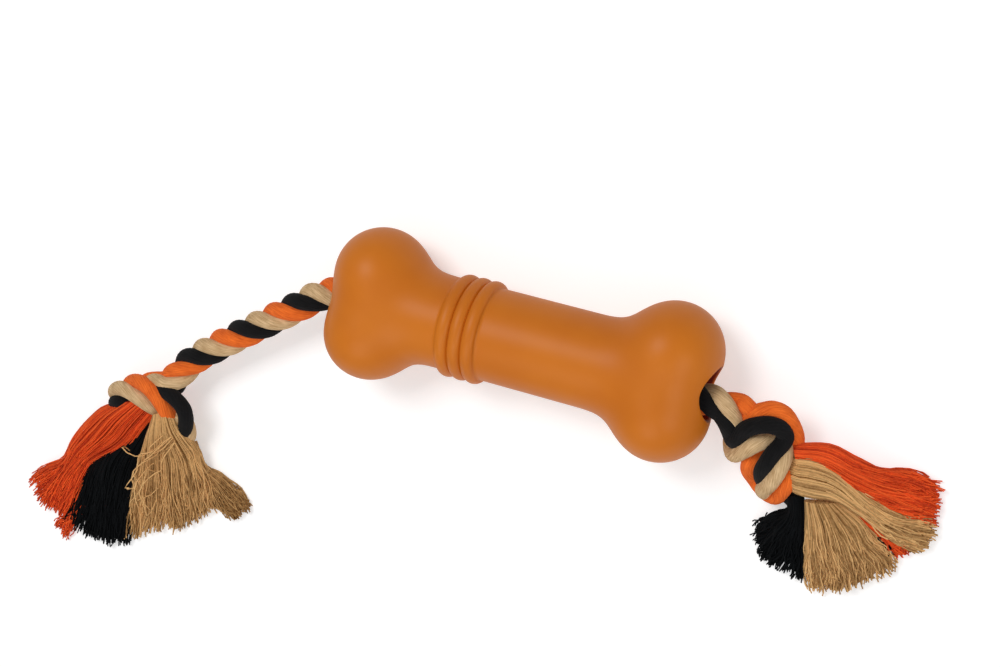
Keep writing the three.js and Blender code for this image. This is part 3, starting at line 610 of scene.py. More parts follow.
def bone_tree():
    """Sweeps rows of rays round the axis, out to the skin where lobes and shaft flow together."""
    tree = bpy.data.node_groups.new("moulded_bone", "GeometryNodeTree")
    tree.interface.new_socket("Rows", in_out="INPUT", socket_type="NodeSocketGeometry")
    sizes = {
        "Lobe place": LOBE_X * MM, "Lobe offset": LOBE_OFFSET * MM, "Lobe radius": LOBE_RADIUS * MM,
        "Lobe half thickness": LOBE_THICKNESS / 2 * MM, "Shaft radius": SHAFT_DIAMETER / 2 * MM,
        "Lobe blend": LOBE_BLEND * MM, "Neck blend": NECK_BLEND * MM, "Axis height": AXIS_HEIGHT * MM,
    }
    for name in sizes:
        tree.interface.new_socket(name, in_out="INPUT", socket_type="NodeSocketFloat")
    tree.interface.new_socket("Azimuths", in_out="INPUT", socket_type="NodeSocketInt")
    tree.interface.new_socket("Rubber", in_out="INPUT", socket_type="NodeSocketMaterial")
    tree.interface.new_socket("Bone", in_out="OUTPUT", socket_type="NodeSocketGeometry")
    given = add_node(tree, "NodeGroupInput").outputs

    # A grid with one line of points for each row, and one column more than there are azimuths
    row_count = add_node(
        tree, "GeometryNodeAttributeDomainSize", {"Geometry": given["Rows"]}, component="MESH")
    columns = add_node(tree, "ShaderNodeMath", {0: given["Azimuths"], 1: 1.0}, operation="ADD")
    grid = add_node(
        tree, "GeometryNodeMeshGrid", {"Vertices X": row_count.outputs["Point Count"], "Vertices Y": columns})
    index = add_node(tree, "GeometryNodeInputIndex")
    row_share = add_node(tree, "ShaderNodeMath", {0: index, 1: columns}, operation="DIVIDE")
    row = add_node(tree, "ShaderNodeMath", {0: row_share}, operation="FLOOR")
    column = add_node(tree, "ShaderNodeMath", {0: index, 1: columns}, operation="FLOORED_MODULO")
    step = add_node(tree, "ShaderNodeMath", {0: 2 * math.pi, 1: given["Azimuths"]}, operation="DIVIDE")
    azimuth = add_node(tree, "ShaderNodeMath", {0: column, 1: step}, operation="MULTIPLY")
    cosine = add_node(tree, "ShaderNodeMath", {0: azimuth}, operation="COSINE")
    sine = add_node(tree, "ShaderNodeMath", {0: azimuth}, operation="SINE")
    read = {}
    for name in ROW_VALUES:
        stored = add_node(tree, "GeometryNodeInputNamedAttribute", {"Name": name}, data_type="FLOAT")
        read[name] = add_node(
            tree, "GeometryNodeSampleIndex",
            {"Geometry": given["Rows"], "Value": stored, "Index": row}, data_type="FLOAT")
    outward = add_node(tree, "ShaderNodeCombineXYZ", {"Y": cosine, "Z": sine})
    along = (1.0, 0.0, 0.0)

    # Each ray starts near the axis and runs along its slope; each vector goes so far outward and so far along
    slope_cosine = add_node(tree, "ShaderNodeMath", {0: read["slope"]}, operation="COSINE")
    slope_sine = add_node(tree, "ShaderNodeMath", {0: read["slope"]}, operation="SINE")
    parts = {
        "start": (read["away"], read["start"]), "ray": (slope_sine, slope_cosine),
        "moved": (read["rise"], read["shift"]),
    }
    vectors = {}
    for name, (far_out, far_along) in parts.items():
        out = add_node(tree, "ShaderNodeVectorMath", {0: outward, "Scale": far_out}, operation="SCALE")
        on = add_node(tree, "ShaderNodeVectorMath", {0: along, "Scale": far_along}, operation="SCALE")
        vectors[name] = add_node(tree, "ShaderNodeVectorMath", {0: out, 1: on}, operation="ADD")
    vectors["ray"] = add_node(
        tree, "ShaderNodeVectorMath", {0: vectors["ray"], "Scale": read["drawn"]}, operation="SCALE")
    kept = grid.outputs["Mesh"]
    for name in ("ray", "moved"):
        kept = add_node(
            tree, "GeometryNodeStoreNamedAttribute", {"Geometry": kept, "Name": name, "Value": vectors[name]},
            data_type="FLOAT_VECTOR")
    placed = add_node(tree, "GeometryNodeSetPosition", {"Geometry": kept, "Position": vectors["start"]})

    # Distance from a point to the skin: two lobes an end, and the shaft, flowing into each other
    here = add_node(tree, "GeometryNodeInputPosition")
    split = add_node(tree, "ShaderNodeSeparateXYZ", {0: here}).outputs
    end_x = add_node(tree, "ShaderNodeMath", {0: split["X"]}, operation="ABSOLUTE")
    lobe_x = add_node(tree, "ShaderNodeMath", {0: end_x, 1: given["Lobe place"]}, operation="SUBTRACT")
    radii = add_node(
        tree, "ShaderNodeCombineXYZ",
        {"X": given["Lobe radius"], "Y": given["Lobe radius"], "Z": given["Lobe half thickness"]})
    lobe_distances = []
    for operation in ("SUBTRACT", "ADD"):
        lobe_y = add_node(
            tree, "ShaderNodeMath", {0: split["Y"], 1: given["Lobe offset"]}, operation=operation)
        from_lobe = add_node(tree, "ShaderNodeCombineXYZ", {"X": lobe_x, "Y": lobe_y, "Z": split["Z"]})
        in_radii = add_node(tree, "ShaderNodeVectorMath", {0: from_lobe, 1: radii}, operation="DIVIDE")
        steep = add_node(tree, "ShaderNodeVectorMath", {0: in_radii, 1: radii}, operation="DIVIDE")
        reach = add_node(tree, "ShaderNodeVectorMath", {0: in_radii}, operation="LENGTH").outputs["Value"]
        slope = add_node(tree, "ShaderNodeVectorMath", {0: steep}, operation="LENGTH").outputs["Value"]
        beyond = add_node(tree, "ShaderNodeMath", {0: reach, 1: 1.0}, operation="SUBTRACT")
        scaled = add_node(tree, "ShaderNodeMath", {0: reach, 1: beyond}, operation="MULTIPLY")
        lobe_distances.append(add_node(tree, "ShaderNodeMath", {0: scaled, 1: slope}, operation="DIVIDE"))
    shaft_end = add_node(tree, "ShaderNodeMath", {0: lobe_x, 1: SHAFT_SETBACK * MM}, operation="ADD")
    past_shaft = add_node(tree, "ShaderNodeMath", {0: shaft_end, 1: 0.0}, operation="MAXIMUM")
    from_shaft = add_node(tree, "ShaderNodeCombineXYZ", {"X": past_shaft, "Y": split["Y"], "Z": split["Z"]})
    shaft_reach = add_node(tree, "ShaderNodeVectorMath", {0: from_shaft}, operation="LENGTH").outputs["Value"]
    shaft = add_node(
        tree, "ShaderNodeMath", {0: shaft_reach, 1: given["Shaft radius"]}, operation="SUBTRACT")
    lobe_size = add_node(
        tree, "ShaderNodeMath", {0: given["Lobe blend"], 1: BLEND_RATIO}, operation="MULTIPLY")
    neck_size = add_node(
        tree, "ShaderNodeMath", {0: given["Neck blend"], 1: BLEND_RATIO}, operation="MULTIPLY")
    lobes = add_node(
        tree, "ShaderNodeMath", {0: lobe_distances[0], 1: lobe_distances[1], 2: lobe_size},
        operation="SMOOTH_MIN")
    distance = add_node(tree, "ShaderNodeMath", {0: lobes, 1: shaft, 2: neck_size}, operation="SMOOTH_MIN")

    # The points walk out along their rays until the distance is nothing
    first = tree.nodes.new("GeometryNodeRepeatInput")
    last = tree.nodes.new("GeometryNodeRepeatOutput")
    first.pair_with_output(last)
    first.inputs["Iterations"].default_value = WALK_STEPS
    tree.links.new(placed.outputs[0], first.inputs["Geometry"])
    ray_here = add_node(tree, "GeometryNodeInputNamedAttribute", {"Name": "ray"}, data_type="FLOAT_VECTOR")
    stride = add_node(tree, "ShaderNodeMath", {0: distance, 1: -WALK_STRIDE}, operation="MULTIPLY")
    walk = add_node(tree, "ShaderNodeVectorMath", {0: ray_here, "Scale": stride}, operation="SCALE")
    walked = add_node(
        tree, "GeometryNodeSetPosition", {"Geometry": first.outputs["Geometry"], "Offset": walk})
    tree.links.new(walked.outputs[0], last.inputs["Geometry"])

    # Ribs and lips are shifts from the skin, and the bone rests on the flats of its lobes
    moved = add_node(tree, "GeometryNodeInputNamedAttribute", {"Name": "moved"}, data_type="FLOAT_VECTOR")
    shaped = add_node(
        tree, "GeometryNodeSetPosition", {"Geometry": last.outputs["Geometry"], "Offset": moved})
    lifted = add_node(tree, "ShaderNodeMath", {0: split["Z"], 1: given["Axis height"]}, operation="ADD")
    rested = add_node(tree, "ShaderNodeMath", {0: lifted, 1: 0.0}, operation="MAXIMUM")
    floor_place = add_node(tree, "ShaderNodeCombineXYZ", {"X": split["X"], "Y": split["Y"], "Z": rested})
    stood = add_node(tree, "GeometryNodeSetPosition", {"Geometry": shaped, "Position": floor_place})
    joined = add_node(
        tree, "GeometryNodeMergeByDistance", {"Geometry": stood, "Distance": MERGE_DISTANCE * MM})
    for name in ("ray", "moved"):
        joined = add_node(tree, "GeometryNodeRemoveAttribute", {"Geometry": joined, "Name": name})
    smooth = add_node(tree, "GeometryNodeSetShadeSmooth", {"Geometry": joined})
    real = add_node(tree, "GeometryNodeRealizeInstances", {"Geometry": smooth})
    covered = add_node(tree, "GeometryNodeSetMaterial", {"Geometry": real, "Material": given["Rubber"]})
    add_node(tree, "NodeGroupOutput", {0: covered})
    values = dict(sizes)
    values["Azimuths"] = BONE_AZIMUTHS
    values["Rubber"] = rubber
    return tree, values


def grow(source, tree, values, name):
    """Runs a node tree on an object and keeps the result as a plain mesh piece of its own."""
    modifier = source.modifiers.new("grow", "NODES")
    modifier.node_group = tree
    for item in tree.interface.items_tree:
        if item.in_out == "INPUT" and item.name in values:
            modifier[item.identifier] = values[item.name]
    bpy.context.view_layer.update()
    evaluated = source.evaluated_get(bpy.context.evaluated_depsgraph_get())
    mesh = bpy.data.meshes.new_from_object(evaluated)
    mesh.name = name
    source.modifiers.remove(modifier)
    bpy.data.objects.remove(source)
    piece = bpy.data.objects.new(name, mesh)
    scene.collection.objects.link(piece)
    return piece


def make_bone():
    """The bone, grown from a mesh with one point for each row of its skin."""
    rows = bone_rows()
    mesh = bpy.data.meshes.new("bone_rows")
    mesh.from_pydata([(0, 0, 0)] * len(rows), [], [])
    for (name, scale), column in zip(ROW_VALUES.items(), zip(*rows)):
        attribute = mesh.attributes.new(name, "FLOAT", "POINT")
        attribute.data.foreach_set("value", np.array(column, np.float32) * scale)
    source = bpy.data.objects.new("bone_rows", mesh)
    scene.collection.objects.link(source)
    tree, values = bone_tree()
    return grow(source, tree, values, "bone_moulding")


bone = make_bone()
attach(bone, "bone")
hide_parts("rubber_bone")


# Tassels: loose yarns laid between guide lines, root to tip; a guide point is its place, height and thickness

FANS = {
    "left_tassel_yarns_orange": ("left", "orange", 650, [
        [(-195, -81, 8, 9), (-206, -88, 4, 14), (-215, -99, 1.5, 16), (-221, -110, 0.6, 13),
         (-225, -121, 0.6, 9), (-233, -127, 0.6, 7), (-245, -137, 0.6, 4)],
        [(-182, -77, 9, 13), (-191, -87, 6, 16), (-200, -99, 2, 18), (-210, -110, 0.6, 14),
         (-218, -121, 0.6, 9), (-223, -128, 0.6, 7), (-233, -148, 0.6, 4)],
        [(-172, -80, 9, 12), (-178.8, -91.2, 8.5, 11), (-184.2, -100, 7, 10), (-194.4, -108, 5, 9),
         (-204.4, -114, 3, 8), (-209.6, -120, 2, 7), (-213, -131, 1, 5), (-220, -149, 0.6, 3)],
    ]),
    "left_tassel_tuft_orange": ("left", "orange", 90, [
        [(-211, -135, 1, 4), (-218, -147, 0.6, 3), (-225, -156, 0.6, 2.5)],
        [(-207, -137, 1, 4), (-213, -149, 0.6, 3), (-219, -160, 0.6, 2.5)],
    ]),
    "left_tassel_yarns_black": ("left", "black", 760, [
        [(-187, -91, 2, 7), (-199, -103, 1.5, 7), (-207, -114, 0.8, 8), (-211, -122, 0.6, 8),
         (-214, -136, 0.6, 6), (-220, -151, 0.6, 3)],
        [(-182, -88, 3, 9), (-190, -101, 2, 10), (-195, -110, 1, 11), (-198, -120, 0.8, 10),
         (-199, -134, 0.6, 7), (-200, -157, 0.6, 3)],
        [(-172, -86, 3, 12), (-175, -98, 2, 14), (-178, -109, 1, 14), (-180, -120, 0.8, 12),
         (-182, -132, 0.6, 9), (-184, -153, 0.6, 3)],
    ]),
    "left_tassel_yarns_beige": ("left", "beige", 900, [
        [(-170.5, -80, 14, 11), (-174.6, -91, 11, 11), (-179, -103, 6.5, 11), (-182.4, -116.5, 4, 9),
         (-185.6, -132, 2, 6), (-187, -151, 0.6, 3)],
        [(-165.4, -77.5, 13, 9), (-162.8, -87, 10, 12), (-160.7, -98.6, 5, 12), (-159.4, -111, 2, 10),
         (-158, -124, 0.8, 7), (-156.5, -136, 0.6, 3)],
        [(-161, -77.5, 14, 11), (-157, -83, 13, 12), (-152.8, -89, 10.5, 11), (-149.2, -95, 6.5, 10),
         (-145, -104.5, 3.5, 9), (-139, -122, 0.8, 4)],
    ]),
    "left_tassel_side_beige": ("left", "beige", 330, [
        [(-158, -96, 1, 4), (-148, -108, 0.8, 5), (-140, -118, 0.6, 4), (-130, -124, 0.6, 3)],
        [(-156, -92, 1, 5), (-148, -102.5, 0.8, 6), (-138.5, -104.5, 0.6, 6), (-120.5, -115, 0.6, 3)],
    ]),
    "left_tassel_strays_beige": ("left", "beige", 10, [
        [(-160, -84, 20, 2), (-169, -96, 19, 2), (-178, -104, 15, 2), (-184, -116, 10, 3)],
        [(-156, -90, 20, 2), (-162, -100, 18, 2), (-168, -112, 15, 3), (-176, -122, 9, 3)],
    ]),
    "right_tassel_yarns_orange": ("right", "orange", 700, [
        [(122, -13, 10, 9), (136, -9.4, 11, 13), (147.3, -12.3, 9, 12), (157, -14.4, 6, 10),
         (167, -14, 2.5, 7), (180, -16.5, 0.6, 4)],
        [(124, -18, 8, 9), (136, -16, 7, 12), (147, -19.5, 4.5, 12), (160, -22.5, 2, 9),
         (183, -24, 0.6, 4)],
        [(125, -21, 6, 8), (134, -23, 5, 10), (146, -28.5, 2, 10), (161, -33, 0.8, 7), (182, -33, 0.6, 3)],
    ]),
    "right_tassel_tuft_orange": ("right", "orange", 150, [
        [(154, -35, 1, 5), (164, -38, 0.8, 5), (177, -43, 0.6, 3)],
        [(153, -39, 1, 5), (162, -43, 0.8, 5), (172, -49, 0.6, 3)],
    ]),
    "right_tassel_ribbon_beige": ("right", "beige", 700, [
        [(118.5, -17, 6, 8), (124, -16.3, 9, 11), (130.5, -15, 10.5, 12), (138.7, -16.6, 9.5, 11),
         (146.2, -21.3, 7.5, 10), (153.6, -26, 5.5, 9), (165.3, -31.4, 3.5, 7), (182.5, -31, 1, 4)],
        [(120.5, -25, 6, 8), (126, -25, 9.5, 10), (133, -24, 9, 11), (141, -24.4, 7.5, 10.5),
         (148.5, -28, 6, 9.5), (157, -32.4, 4, 8.5), (168, -36.6, 2, 7), (183, -37.5, 0.8, 4)],
        [(121, -32, 5, 8), (127.5, -33, 9, 10), (134.5, -33, 8.5, 10), (142, -31.8, 7, 10),
         (151, -34, 5.5, 9), (161.3, -38, 4, 8), (171.3, -41.5, 2.5, 6), (179.5, -43.5, 0.6, 3)],
    ]),
    "right_tassel_yarns_beige": ("right", "beige", 800, [
        [(131, -36, 4, 10), (134.4, -49.5, 3.5, 10), (137, -62, 1.5, 7), (141, -73, 0.6, 4)],
        [(138, -34, 4, 10), (146, -44, 2, 12), (152, -55, 1, 10), (157, -67, 0.6, 4)],
        [(144, -33, 4, 9), (153.5, -37, 3.5, 10), (163, -44.8, 2, 8), (172.5, -53, 0.6, 4)],
    ]),
    "right_tassel_yarns_black": ("right", "black", 640, [
        [(124, -35, 3, 9), (124.5, -42, 2.5, 10), (120, -45.5, 2, 9), (113.5, -53, 0.6, 4)],
        [(126.5, -34.5, 3, 10), (127.5, -44, 2, 11), (124, -54, 1, 10), (119, -66, 0.6, 4)],
        [(129.5, -35, 3, 9), (133.5, -47, 2, 10), (135.3, -57, 1, 8), (137, -70, 0.6, 4)],
    ]),
    "right_tassel_tuft_black": ("right", "black", 80, [
        [(150, -40, 1, 4), (161, -43, 0.8, 4), (170, -46, 0.6, 2.5)],
        [(149, -43, 1, 4), (159, -46, 0.8, 4), (168, -50, 0.6, 2.5)],
    ]),
}
YARN_RADIUS = 0.34
YARN_STEPS = 18
YARN_SIDES = 3
YARNS_IN_LOCK = 26
YARN_WAVE = 11.0
STRAY_WAVE = 55.0
# How far yarns are drawn into their lock, how much shorter the shortest are, and how far they wander sideways
YARN_GATHER = 0.55
YARN_RAGGED = 0.26
YARN_WANDER = 0.18
FEWEST_LOCKS = 3
# Fans have seeds so far apart, and a lock's chance is drawn so far from its fan's seed
SEED_STEP = 100
LOCK_SEED = 40.0
WANDER_SCALE = 3.0
NOISE_MIDDLE = 0.5
# The share of its guides' thickness that a fan has at its sides, the growth to its middle, and the power that
# brings most yarns near its top
CROWN_EDGE = 0.35
CROWN_RISE = 1.3
LAYER_POWER = 0.6
# How fast the waves change from yarn to yarn, along a yarn and between fans, and how they grow to the tip
WAVE_SCALES = (7.3, 3.0, 1.7)
WAVE_TIP_SHARE = 0.7
WAVE_TIP_POWER = 3.0
# How much of a yarn's shade it shares with its lock
LOCK_TONE_SHARE = 0.35
GUIDE_STEP = 1.5
# Painted light and shade: how much paler a fan's yarns are painted beside the others, darker where it lies
# deeper under another fan and paler where it lies on top
FAN_PAINTED_LIGHTNESS = {
    "left_tassel_side_beige": 0.5, "left_tassel_strays_beige": 1.7, "right_tassel_ribbon_beige": 1.3,
}


def fan_tree():
    """Lays yarns side by side between guide lines, gathers them into locks and leaves their tips ragged."""
    tree = bpy.data.node_groups.new("frayed_fan", "GeometryNodeTree")
    tree.interface.new_socket("Guides", in_out="INPUT", socket_type="NodeSocketGeometry")
    for name in ("Yarns", "Steps", "Sides", "Guide count", "Locks", "Seed"):
        tree.interface.new_socket(name, in_out="INPUT", socket_type="NodeSocketInt")
    for name in ("Yarn radius", "Gather", "Ragged", "Wander", "Wave", "Painted lightness"):
        tree.interface.new_socket(name, in_out="INPUT", socket_type="NodeSocketFloat")
    tree.interface.new_socket("Cotton", in_out="INPUT", socket_type="NodeSocketMaterial")
    tree.interface.new_socket("Fan", in_out="OUTPUT", socket_type="NodeSocketGeometry")
    given = add_node(tree, "NodeGroupInput").outputs

    # One row of points for each yarn
    total = add_node(tree, "ShaderNodeMath", {0: given["Yarns"], 1: given["Steps"]}, operation="MULTIPLY")
    points = add_node(tree, "GeometryNodePoints", {"Count": total})
    index = add_node(tree, "GeometryNodeInputIndex")
    rows = add_node(tree, "ShaderNodeMath", {0: index, 1: given["Steps"]}, operation="DIVIDE")
    yarn = add_node(tree, "ShaderNodeMath", {0: rows}, operation="FLOOR")
    step = add_node(tree, "ShaderNodeMath", {0: index, 1: given["Steps"]}, operation="FLOORED_MODULO")
    last_step = add_node(tree, "ShaderNodeMath", {0: given["Steps"], 1: 1.0}, operation="SUBTRACT")
    along = add_node(tree, "ShaderNodeMath", {0: step, 1: last_step}, operation="DIVIDE")

    # Chance values of each yarn, and of the lock that it belongs to
    chance = {}
    for number, name in enumerate(("across", "height", "reach", "tone")):
        seed = add_node(tree, "ShaderNodeMath", {0: given["Seed"], 1: float(number)}, operation="ADD")
        chance[name] = add_node(
            tree, "FunctionNodeRandomValue", {"ID": yarn, "Seed": seed}, data_type="FLOAT").outputs[1]
    placed = add_node(tree, "ShaderNodeMath", {0: yarn, 1: chance["across"]}, operation="ADD")
    across = add_node(tree, "ShaderNodeMath", {0: placed, 1: given["Yarns"]}, operation="DIVIDE")
    in_locks = add_node(tree, "ShaderNodeMath", {0: across, 1: given["Locks"]}, operation="MULTIPLY")
    lock = add_node(tree, "ShaderNodeMath", {0: in_locks}, operation="FLOOR")
    lock_seed = add_node(tree, "ShaderNodeMath", {0: given["Seed"], 1: LOCK_SEED}, operation="ADD")
    lock_chance = add_node(
        tree, "FunctionNodeRandomValue", {"ID": lock, "Seed": lock_seed}, data_type="FLOAT").outputs[1]
    lock_place = add_node(tree, "ShaderNodeMath", {0: lock, 1: lock_chance}, operation="ADD")
    lock_middle = add_node(tree, "ShaderNodeMath", {0: lock_place, 1: given["Locks"]}, operation="DIVIDE")
    gathered = add_node(tree, "ShaderNodeMath", {0: along, 1: given["Gather"]}, operation="MULTIPLY")
    across = add_node(tree, "ShaderNodeMix", {0: gathered, 2: across, 3: lock_middle}, data_type="FLOAT")

    # Slow wander from side to side, none at the root
    where = add_node(tree, "ShaderNodeCombineXYZ", {"X": across, "Y": along, "Z": given["Seed"]})
    drift = add_node(tree, "ShaderNodeTexNoise", {"Vector": where, "Scale": WANDER_SCALE, "Detail": 1.0})
    for operation, value in (
            ("SUBTRACT", NOISE_MIDDLE), ("MULTIPLY", given["Wander"]), ("MULTIPLY", along)):
        drift = add_node(tree, "ShaderNodeMath", {0: drift, 1: value}, operation=operation)
    across = add_node(tree, "ShaderNodeMath", {0: across, 1: drift}, operation="ADD", use_clamp=True)

    # Tips end unevenly, whole locks and single yarns
    short = add_node(tree, "ShaderNodeMath", {0: chance["reach"], 1: lock_chance}, operation="MULTIPLY")
    short = add_node(tree, "ShaderNodeMath", {0: short, 1: given["Ragged"]}, operation="MULTIPLY")
    reach = add_node(tree, "ShaderNodeMath", {0: 1.0, 1: short}, operation="SUBTRACT")
    reach = add_node(tree, "ShaderNodeMath", {0: along, 1: reach}, operation="MULTIPLY")

    # Place between the two nearest guides
    last_guide = add_node(tree, "ShaderNodeMath", {0: given["Guide count"], 1: 1.0}, operation="SUBTRACT")
    spot = add_node(tree, "ShaderNodeMath", {0: across, 1: last_guide}, operation="MULTIPLY")
    lower = add_node(tree, "ShaderNodeMath", {0: spot}, operation="FLOOR")
    highest = add_node(tree, "ShaderNodeMath", {0: last_guide, 1: 1.0}, operation="SUBTRACT")
    lower = add_node(tree, "ShaderNodeMath", {0: lower, 1: highest}, operation="MINIMUM")
    upper = add_node(tree, "ShaderNodeMath", {0: lower, 1: 1.0}, operation="ADD")
    between = add_node(tree, "ShaderNodeMath", {0: spot, 1: lower}, operation="SUBTRACT")
    thickness = add_node(tree, "GeometryNodeInputRadius")
    sampled = []
    for guide in (lower, upper):
        sampled.append(add_node(
            tree, "GeometryNodeSampleCurve",
            {"Curves": given["Guides"], "Value": thickness, "Factor": reach, "Curve Index": guide},
            data_type="FLOAT", mode="FACTOR").outputs)
    base = add_node(
        tree, "ShaderNodeMix", {0: between, 4: sampled[0]["Position"], 5: sampled[1]["Position"]},
        data_type="VECTOR").outputs[1]
    thick = add_node(
        tree, "ShaderNodeMix", {0: between, 2: sampled[0]["Value"], 3: sampled[1]["Value"]},
        data_type="FLOAT")

    # The fan is thin at its sides, and most yarns lie near its top
    other_side = add_node(tree, "ShaderNodeMath", {0: 1.0, 1: across}, operation="SUBTRACT")
    crown = add_node(tree, "ShaderNodeMath", {0: across, 1: other_side}, operation="MULTIPLY")
    crown = add_node(tree, "ShaderNodeMath", {0: crown}, operation="SQRT")
    crown = add_node(
        tree, "ShaderNodeMath", {0: crown, 1: CROWN_RISE, 2: CROWN_EDGE}, operation="MULTIPLY_ADD")
    layer = add_node(tree, "ShaderNodeMath", {0: chance["height"], 1: LAYER_POWER}, operation="POWER")
    lift = add_node(tree, "ShaderNodeMath", {0: thick, 1: crown}, operation="MULTIPLY")
    lift = add_node(tree, "ShaderNodeMath", {0: lift, 1: layer}, operation="MULTIPLY")

    # Each yarn waves a little on its own, most at its tip, and none goes below the floor
    own = add_node(tree, "ShaderNodeCombineXYZ", {"X": yarn, "Y": along, "Z": given["Seed"]})
    own = add_node(tree, "ShaderNodeVectorMath", {0: own, 1: WAVE_SCALES}, operation="MULTIPLY")
    waving = add_node(
        tree, "ShaderNodeTexNoise", {"Vector": own, "Scale": 1.0, "Detail": 0.0}).outputs["Color"]
    waving = add_node(
        tree, "ShaderNodeVectorMath", {0: waving, 1: [NOISE_MIDDLE] * 3}, operation="SUBTRACT")
    frayed = add_node(tree, "ShaderNodeMath", {0: along, 1: WAVE_TIP_POWER}, operation="POWER")
    frayed = add_node(tree, "ShaderNodeMix", {0: WAVE_TIP_SHARE, 2: along, 3: frayed}, data_type="FLOAT")
    strength = add_node(tree, "ShaderNodeMath", {0: frayed, 1: given["Wave"]}, operation="MULTIPLY")
    waving = add_node(tree, "ShaderNodeVectorMath", {0: waving, "Scale": strength}, operation="SCALE")
    lifted = add_node(tree, "ShaderNodeCombineXYZ", {"Z": lift})
    place = add_node(tree, "ShaderNodeVectorMath", {0: base, 1: lifted}, operation="ADD")
    place = add_node(tree, "ShaderNodeVectorMath", {0: place, 1: waving}, operation="ADD")
    split = add_node(tree, "ShaderNodeSeparateXYZ", {0: place}).outputs
    height = add_node(tree, "ShaderNodeMath", {0: split["Z"], 1: given["Yarn radius"]}, operation="MAXIMUM")
    place = add_node(tree, "ShaderNodeCombineXYZ", {"X": split["X"], "Y": split["Y"], "Z": height})

    # Yarns as round tubes that carry their tone
    shade = add_node(
        tree, "ShaderNodeMix", {0: LOCK_TONE_SHARE, 2: chance["tone"], 3: lock_chance}, data_type="FLOAT")
    # Painted light and shade: a fan's painted lightness scales the tone of its yarns
    shade = add_node(tree, "ShaderNodeMath", {0: shade, 1: given["Painted lightness"]}, operation="MULTIPLY")
    toned = add_node(
        tree, "GeometryNodeStoreNamedAttribute", {"Geometry": points, "Name": "tone", "Value": shade},
        data_type="FLOAT")
    moved = add_node(tree, "GeometryNodeSetPosition", {"Geometry": toned, "Position": place})
    curves = add_node(
        tree, "GeometryNodePointsToCurves", {"Points": moved, "Curve Group ID": yarn, "Weight": step})
    profile = add_node(
        tree, "GeometryNodeCurvePrimitiveCircle",
        {"Resolution": given["Sides"], "Radius": given["Yarn radius"]})
    tubes = add_node(
        tree, "GeometryNodeCurveToMesh", {"Curve": curves, "Profile Curve": profile, "Fill Caps": True})
    smooth = add_node(tree, "GeometryNodeSetShadeSmooth", {"Geometry": tubes})
    real = add_node(tree, "GeometryNodeRealizeInstances", {"Geometry": smooth})
    covered = add_node(tree, "GeometryNodeSetMaterial", {"Geometry": real, "Material": given["Cotton"]})
    add_node(tree, "NodeGroupOutput", {0: covered})
    return tree


YARN_TONES = {
    "beige": ("#e6b87c", "#72481c"),
    "black": ("#101214", "#050607"),
    "orange": ("#f8642c", "#b8341c"),
}
# Fuzz on a yarn is finer than it can show, so it is drawn as coarse as this
FUZZ_SIZE = 1.111
FUZZ_SHARE = 0.5


def cotton_yarn(dye):
    """Frayed cotton yarn: thin, matt and a little fuzzy, each one a shade of its own."""
    material, tree = new_material(f"{dye}_dyed_cotton_yarn")
    tone = add_node(tree, "ShaderNodeAttribute", attribute_name="tone").outputs["Fac"]
    place = add_node(tree, "ShaderNodeTexCoord").outputs["Object"]
    fuzz = add_node(
        tree, "ShaderNodeTexNoise",
        {"Vector": place, "Scale": 1 / (FUZZ_SIZE * MM), "Detail": 2.0}).outputs["Fac"]
    fuzzy = add_node(tree, "ShaderNodeMath", {0: fuzz, 1: FUZZ_SHARE, 2: tone}, operation="MULTIPLY_ADD")
    ramp = add_node(tree, "ShaderNodeValToRGB", {"Fac": fuzzy})
    pale, deep = YARN_TONES[dye]
    for element, (position, colour) in zip(ramp.color_ramp.elements, ((0.2, deep), (1.0, pale))):
        element.position = position
        element.color = linear(colour)
    shader = add_node(
        tree, "ShaderNodeBsdfPrincipled",
        {"Base Color": ramp, "Roughness": 0.85, "Specular IOR Level": 0.08})
    add_node(tree, "ShaderNodeOutputMaterial", {"Surface": shader})
    return material


def guide_object(guides):
    """The guide lines of one fan as curves; a point's radius carries the fan's thickness there."""
    data = bpy.data.curves.new("fan_guides", "CURVE")
    data.dimensions = "3D"
    for guide in guides:
        line = smooth_guide(guide)
        spline = data.splines.new("POLY")
        spline.points.add(len(line) - 1)
        for point, (x, y, z, thickness) in zip(spline.points, line):
            point.co = (x * MM, y * MM, z * MM, 1.0)
            point.radius = thickness * MM
    source = bpy.data.objects.new("fan_guides", data)
    scene.collection.objects.link(source)
    return source


def smooth_guide(guide):
    """A guide drawn as a smooth line, with its thickness along it."""
    points = np.array(guide, float)
    line = smooth_line(points[:, :3], GUIDE_STEP)
    spans = lengths_along(points[:, :3])
    share = lengths_along(line) / lengths_along(line)[-1]
    thickness = np.interp(share, spans / spans[-1], points[:, 3])
    return np.column_stack([line, thickness])


yarn_cotton = {dye: cotton_yarn(dye) for dye in DYES}
tassel_tree = fan_tree()
for seed, (name, (side, dye, yarns, guides)) in enumerate(FANS.items()):
    wave = STRAY_WAVE if "strays" in name else YARN_WAVE
    fan = grow(guide_object(guides), tassel_tree, {
        "Yarns": yarns, "Steps": YARN_STEPS, "Sides": YARN_SIDES, "Guide count": len(guides),
        "Locks": max(yarns // YARNS_IN_LOCK, FEWEST_LOCKS), "Seed": SEED_STEP * (seed + 1),
        "Yarn radius": YARN_RADIUS * MM, "Gather": YARN_GATHER, "Ragged": YARN_RAGGED, "Wander": YARN_WANDER,
        "Wave": wave * MM, "Painted lightness": FAN_PAINTED_LIGHTNESS.get(name, 1.0), "Cotton": yarn_cotton[dye]}, name)
    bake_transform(fan)
    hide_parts(f"{side}_tassel_{dye}")
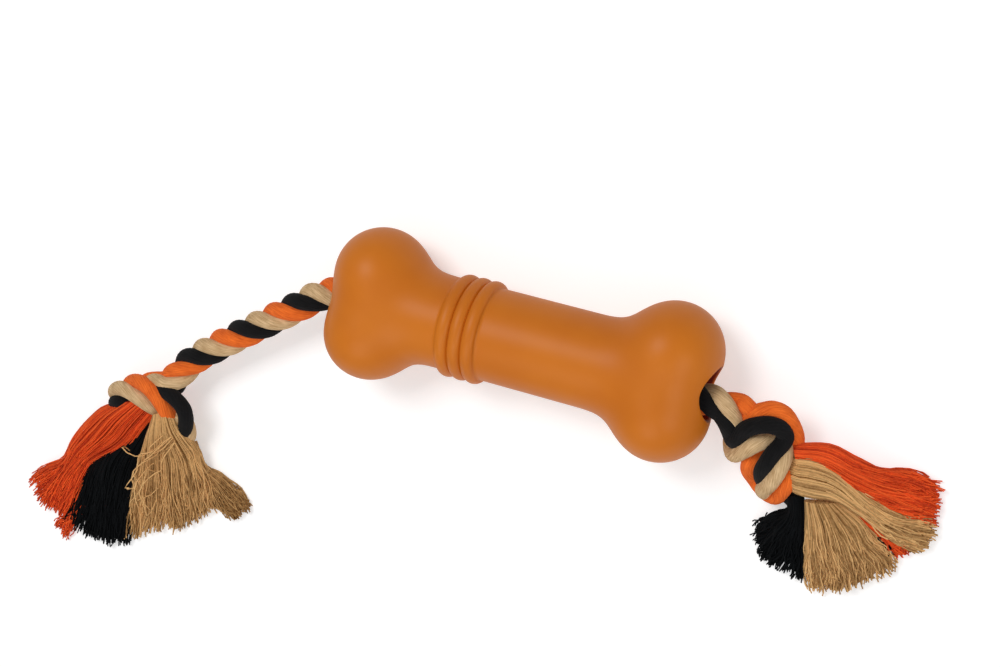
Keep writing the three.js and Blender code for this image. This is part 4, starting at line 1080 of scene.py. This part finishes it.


# Floor and light

FLOOR_REACH = 6.0
SKY_LEVEL = 0.38
PAPER_GLOW = 0.25
# Name, place and size in metres, power in watts, and whether the lamp casts shadows
SOFTBOXES = (
    ("key_softbox", (-0.4, 0.42, 1.1), 0.5, 5.6, True),
    ("front_fill", (0.05, -0.8, 1.0), 0.8, 3.9, False),
    ("right_fill", (0.9, -0.2, 0.8), 0.6, 2.9, False),
)


def studio():
    """White paper floor that keeps the shadows, one soft lamp that casts them and two fills that don't."""
    mesh = bpy.data.meshes.new("paper_floor")
    corners = [(FLOOR_REACH * x, FLOOR_REACH * y, 0) for x, y in ((-1, -1), (1, -1), (1, 1), (-1, 1))]
    mesh.from_pydata(corners, [], [(0, 1, 2, 3)])
    floor = bpy.data.objects.new("paper_floor", mesh)
    scene.collection.objects.link(floor)
    material, tree = new_material("white_paper")
    seen = add_node(tree, "ShaderNodeLightPath").outputs["Is Camera Ray"]
    paper = add_node(tree, "ShaderNodeBsdfDiffuse", {"Color": linear("#f2f2f2")})
    white = add_node(tree, "ShaderNodeMath", {0: seen, 1: PAPER_GLOW}, operation="MULTIPLY")
    glow = add_node(tree, "ShaderNodeEmission", {"Color": (1, 1, 1, 1), "Strength": white})
    both = add_node(tree, "ShaderNodeAddShader", {0: paper, 1: glow})
    add_node(tree, "ShaderNodeOutputMaterial", {"Surface": both})
    mesh.materials.append(material)
    world = bpy.data.worlds.new("studio")
    world.use_nodes = True
    tree = world.node_tree
    tree.nodes.clear()
    sky = add_node(tree, "ShaderNodeBackground", {"Color": (1, 1, 1, 1), "Strength": SKY_LEVEL})
    add_node(tree, "ShaderNodeOutputWorld", {"Surface": sky})
    scene.world = world
    for name, place, size, power, shadows in SOFTBOXES:
        lamp = bpy.data.lights.new(name, "AREA")
        lamp.size = size
        lamp.energy = power
        lamp.use_shadow = shadows
        holder = bpy.data.objects.new(name, lamp)
        holder.location = place
        holder.rotation_euler = (-Vector(place)).to_track_quat("-Z", "Y").to_euler()
        scene.collection.objects.link(holder)


studio()
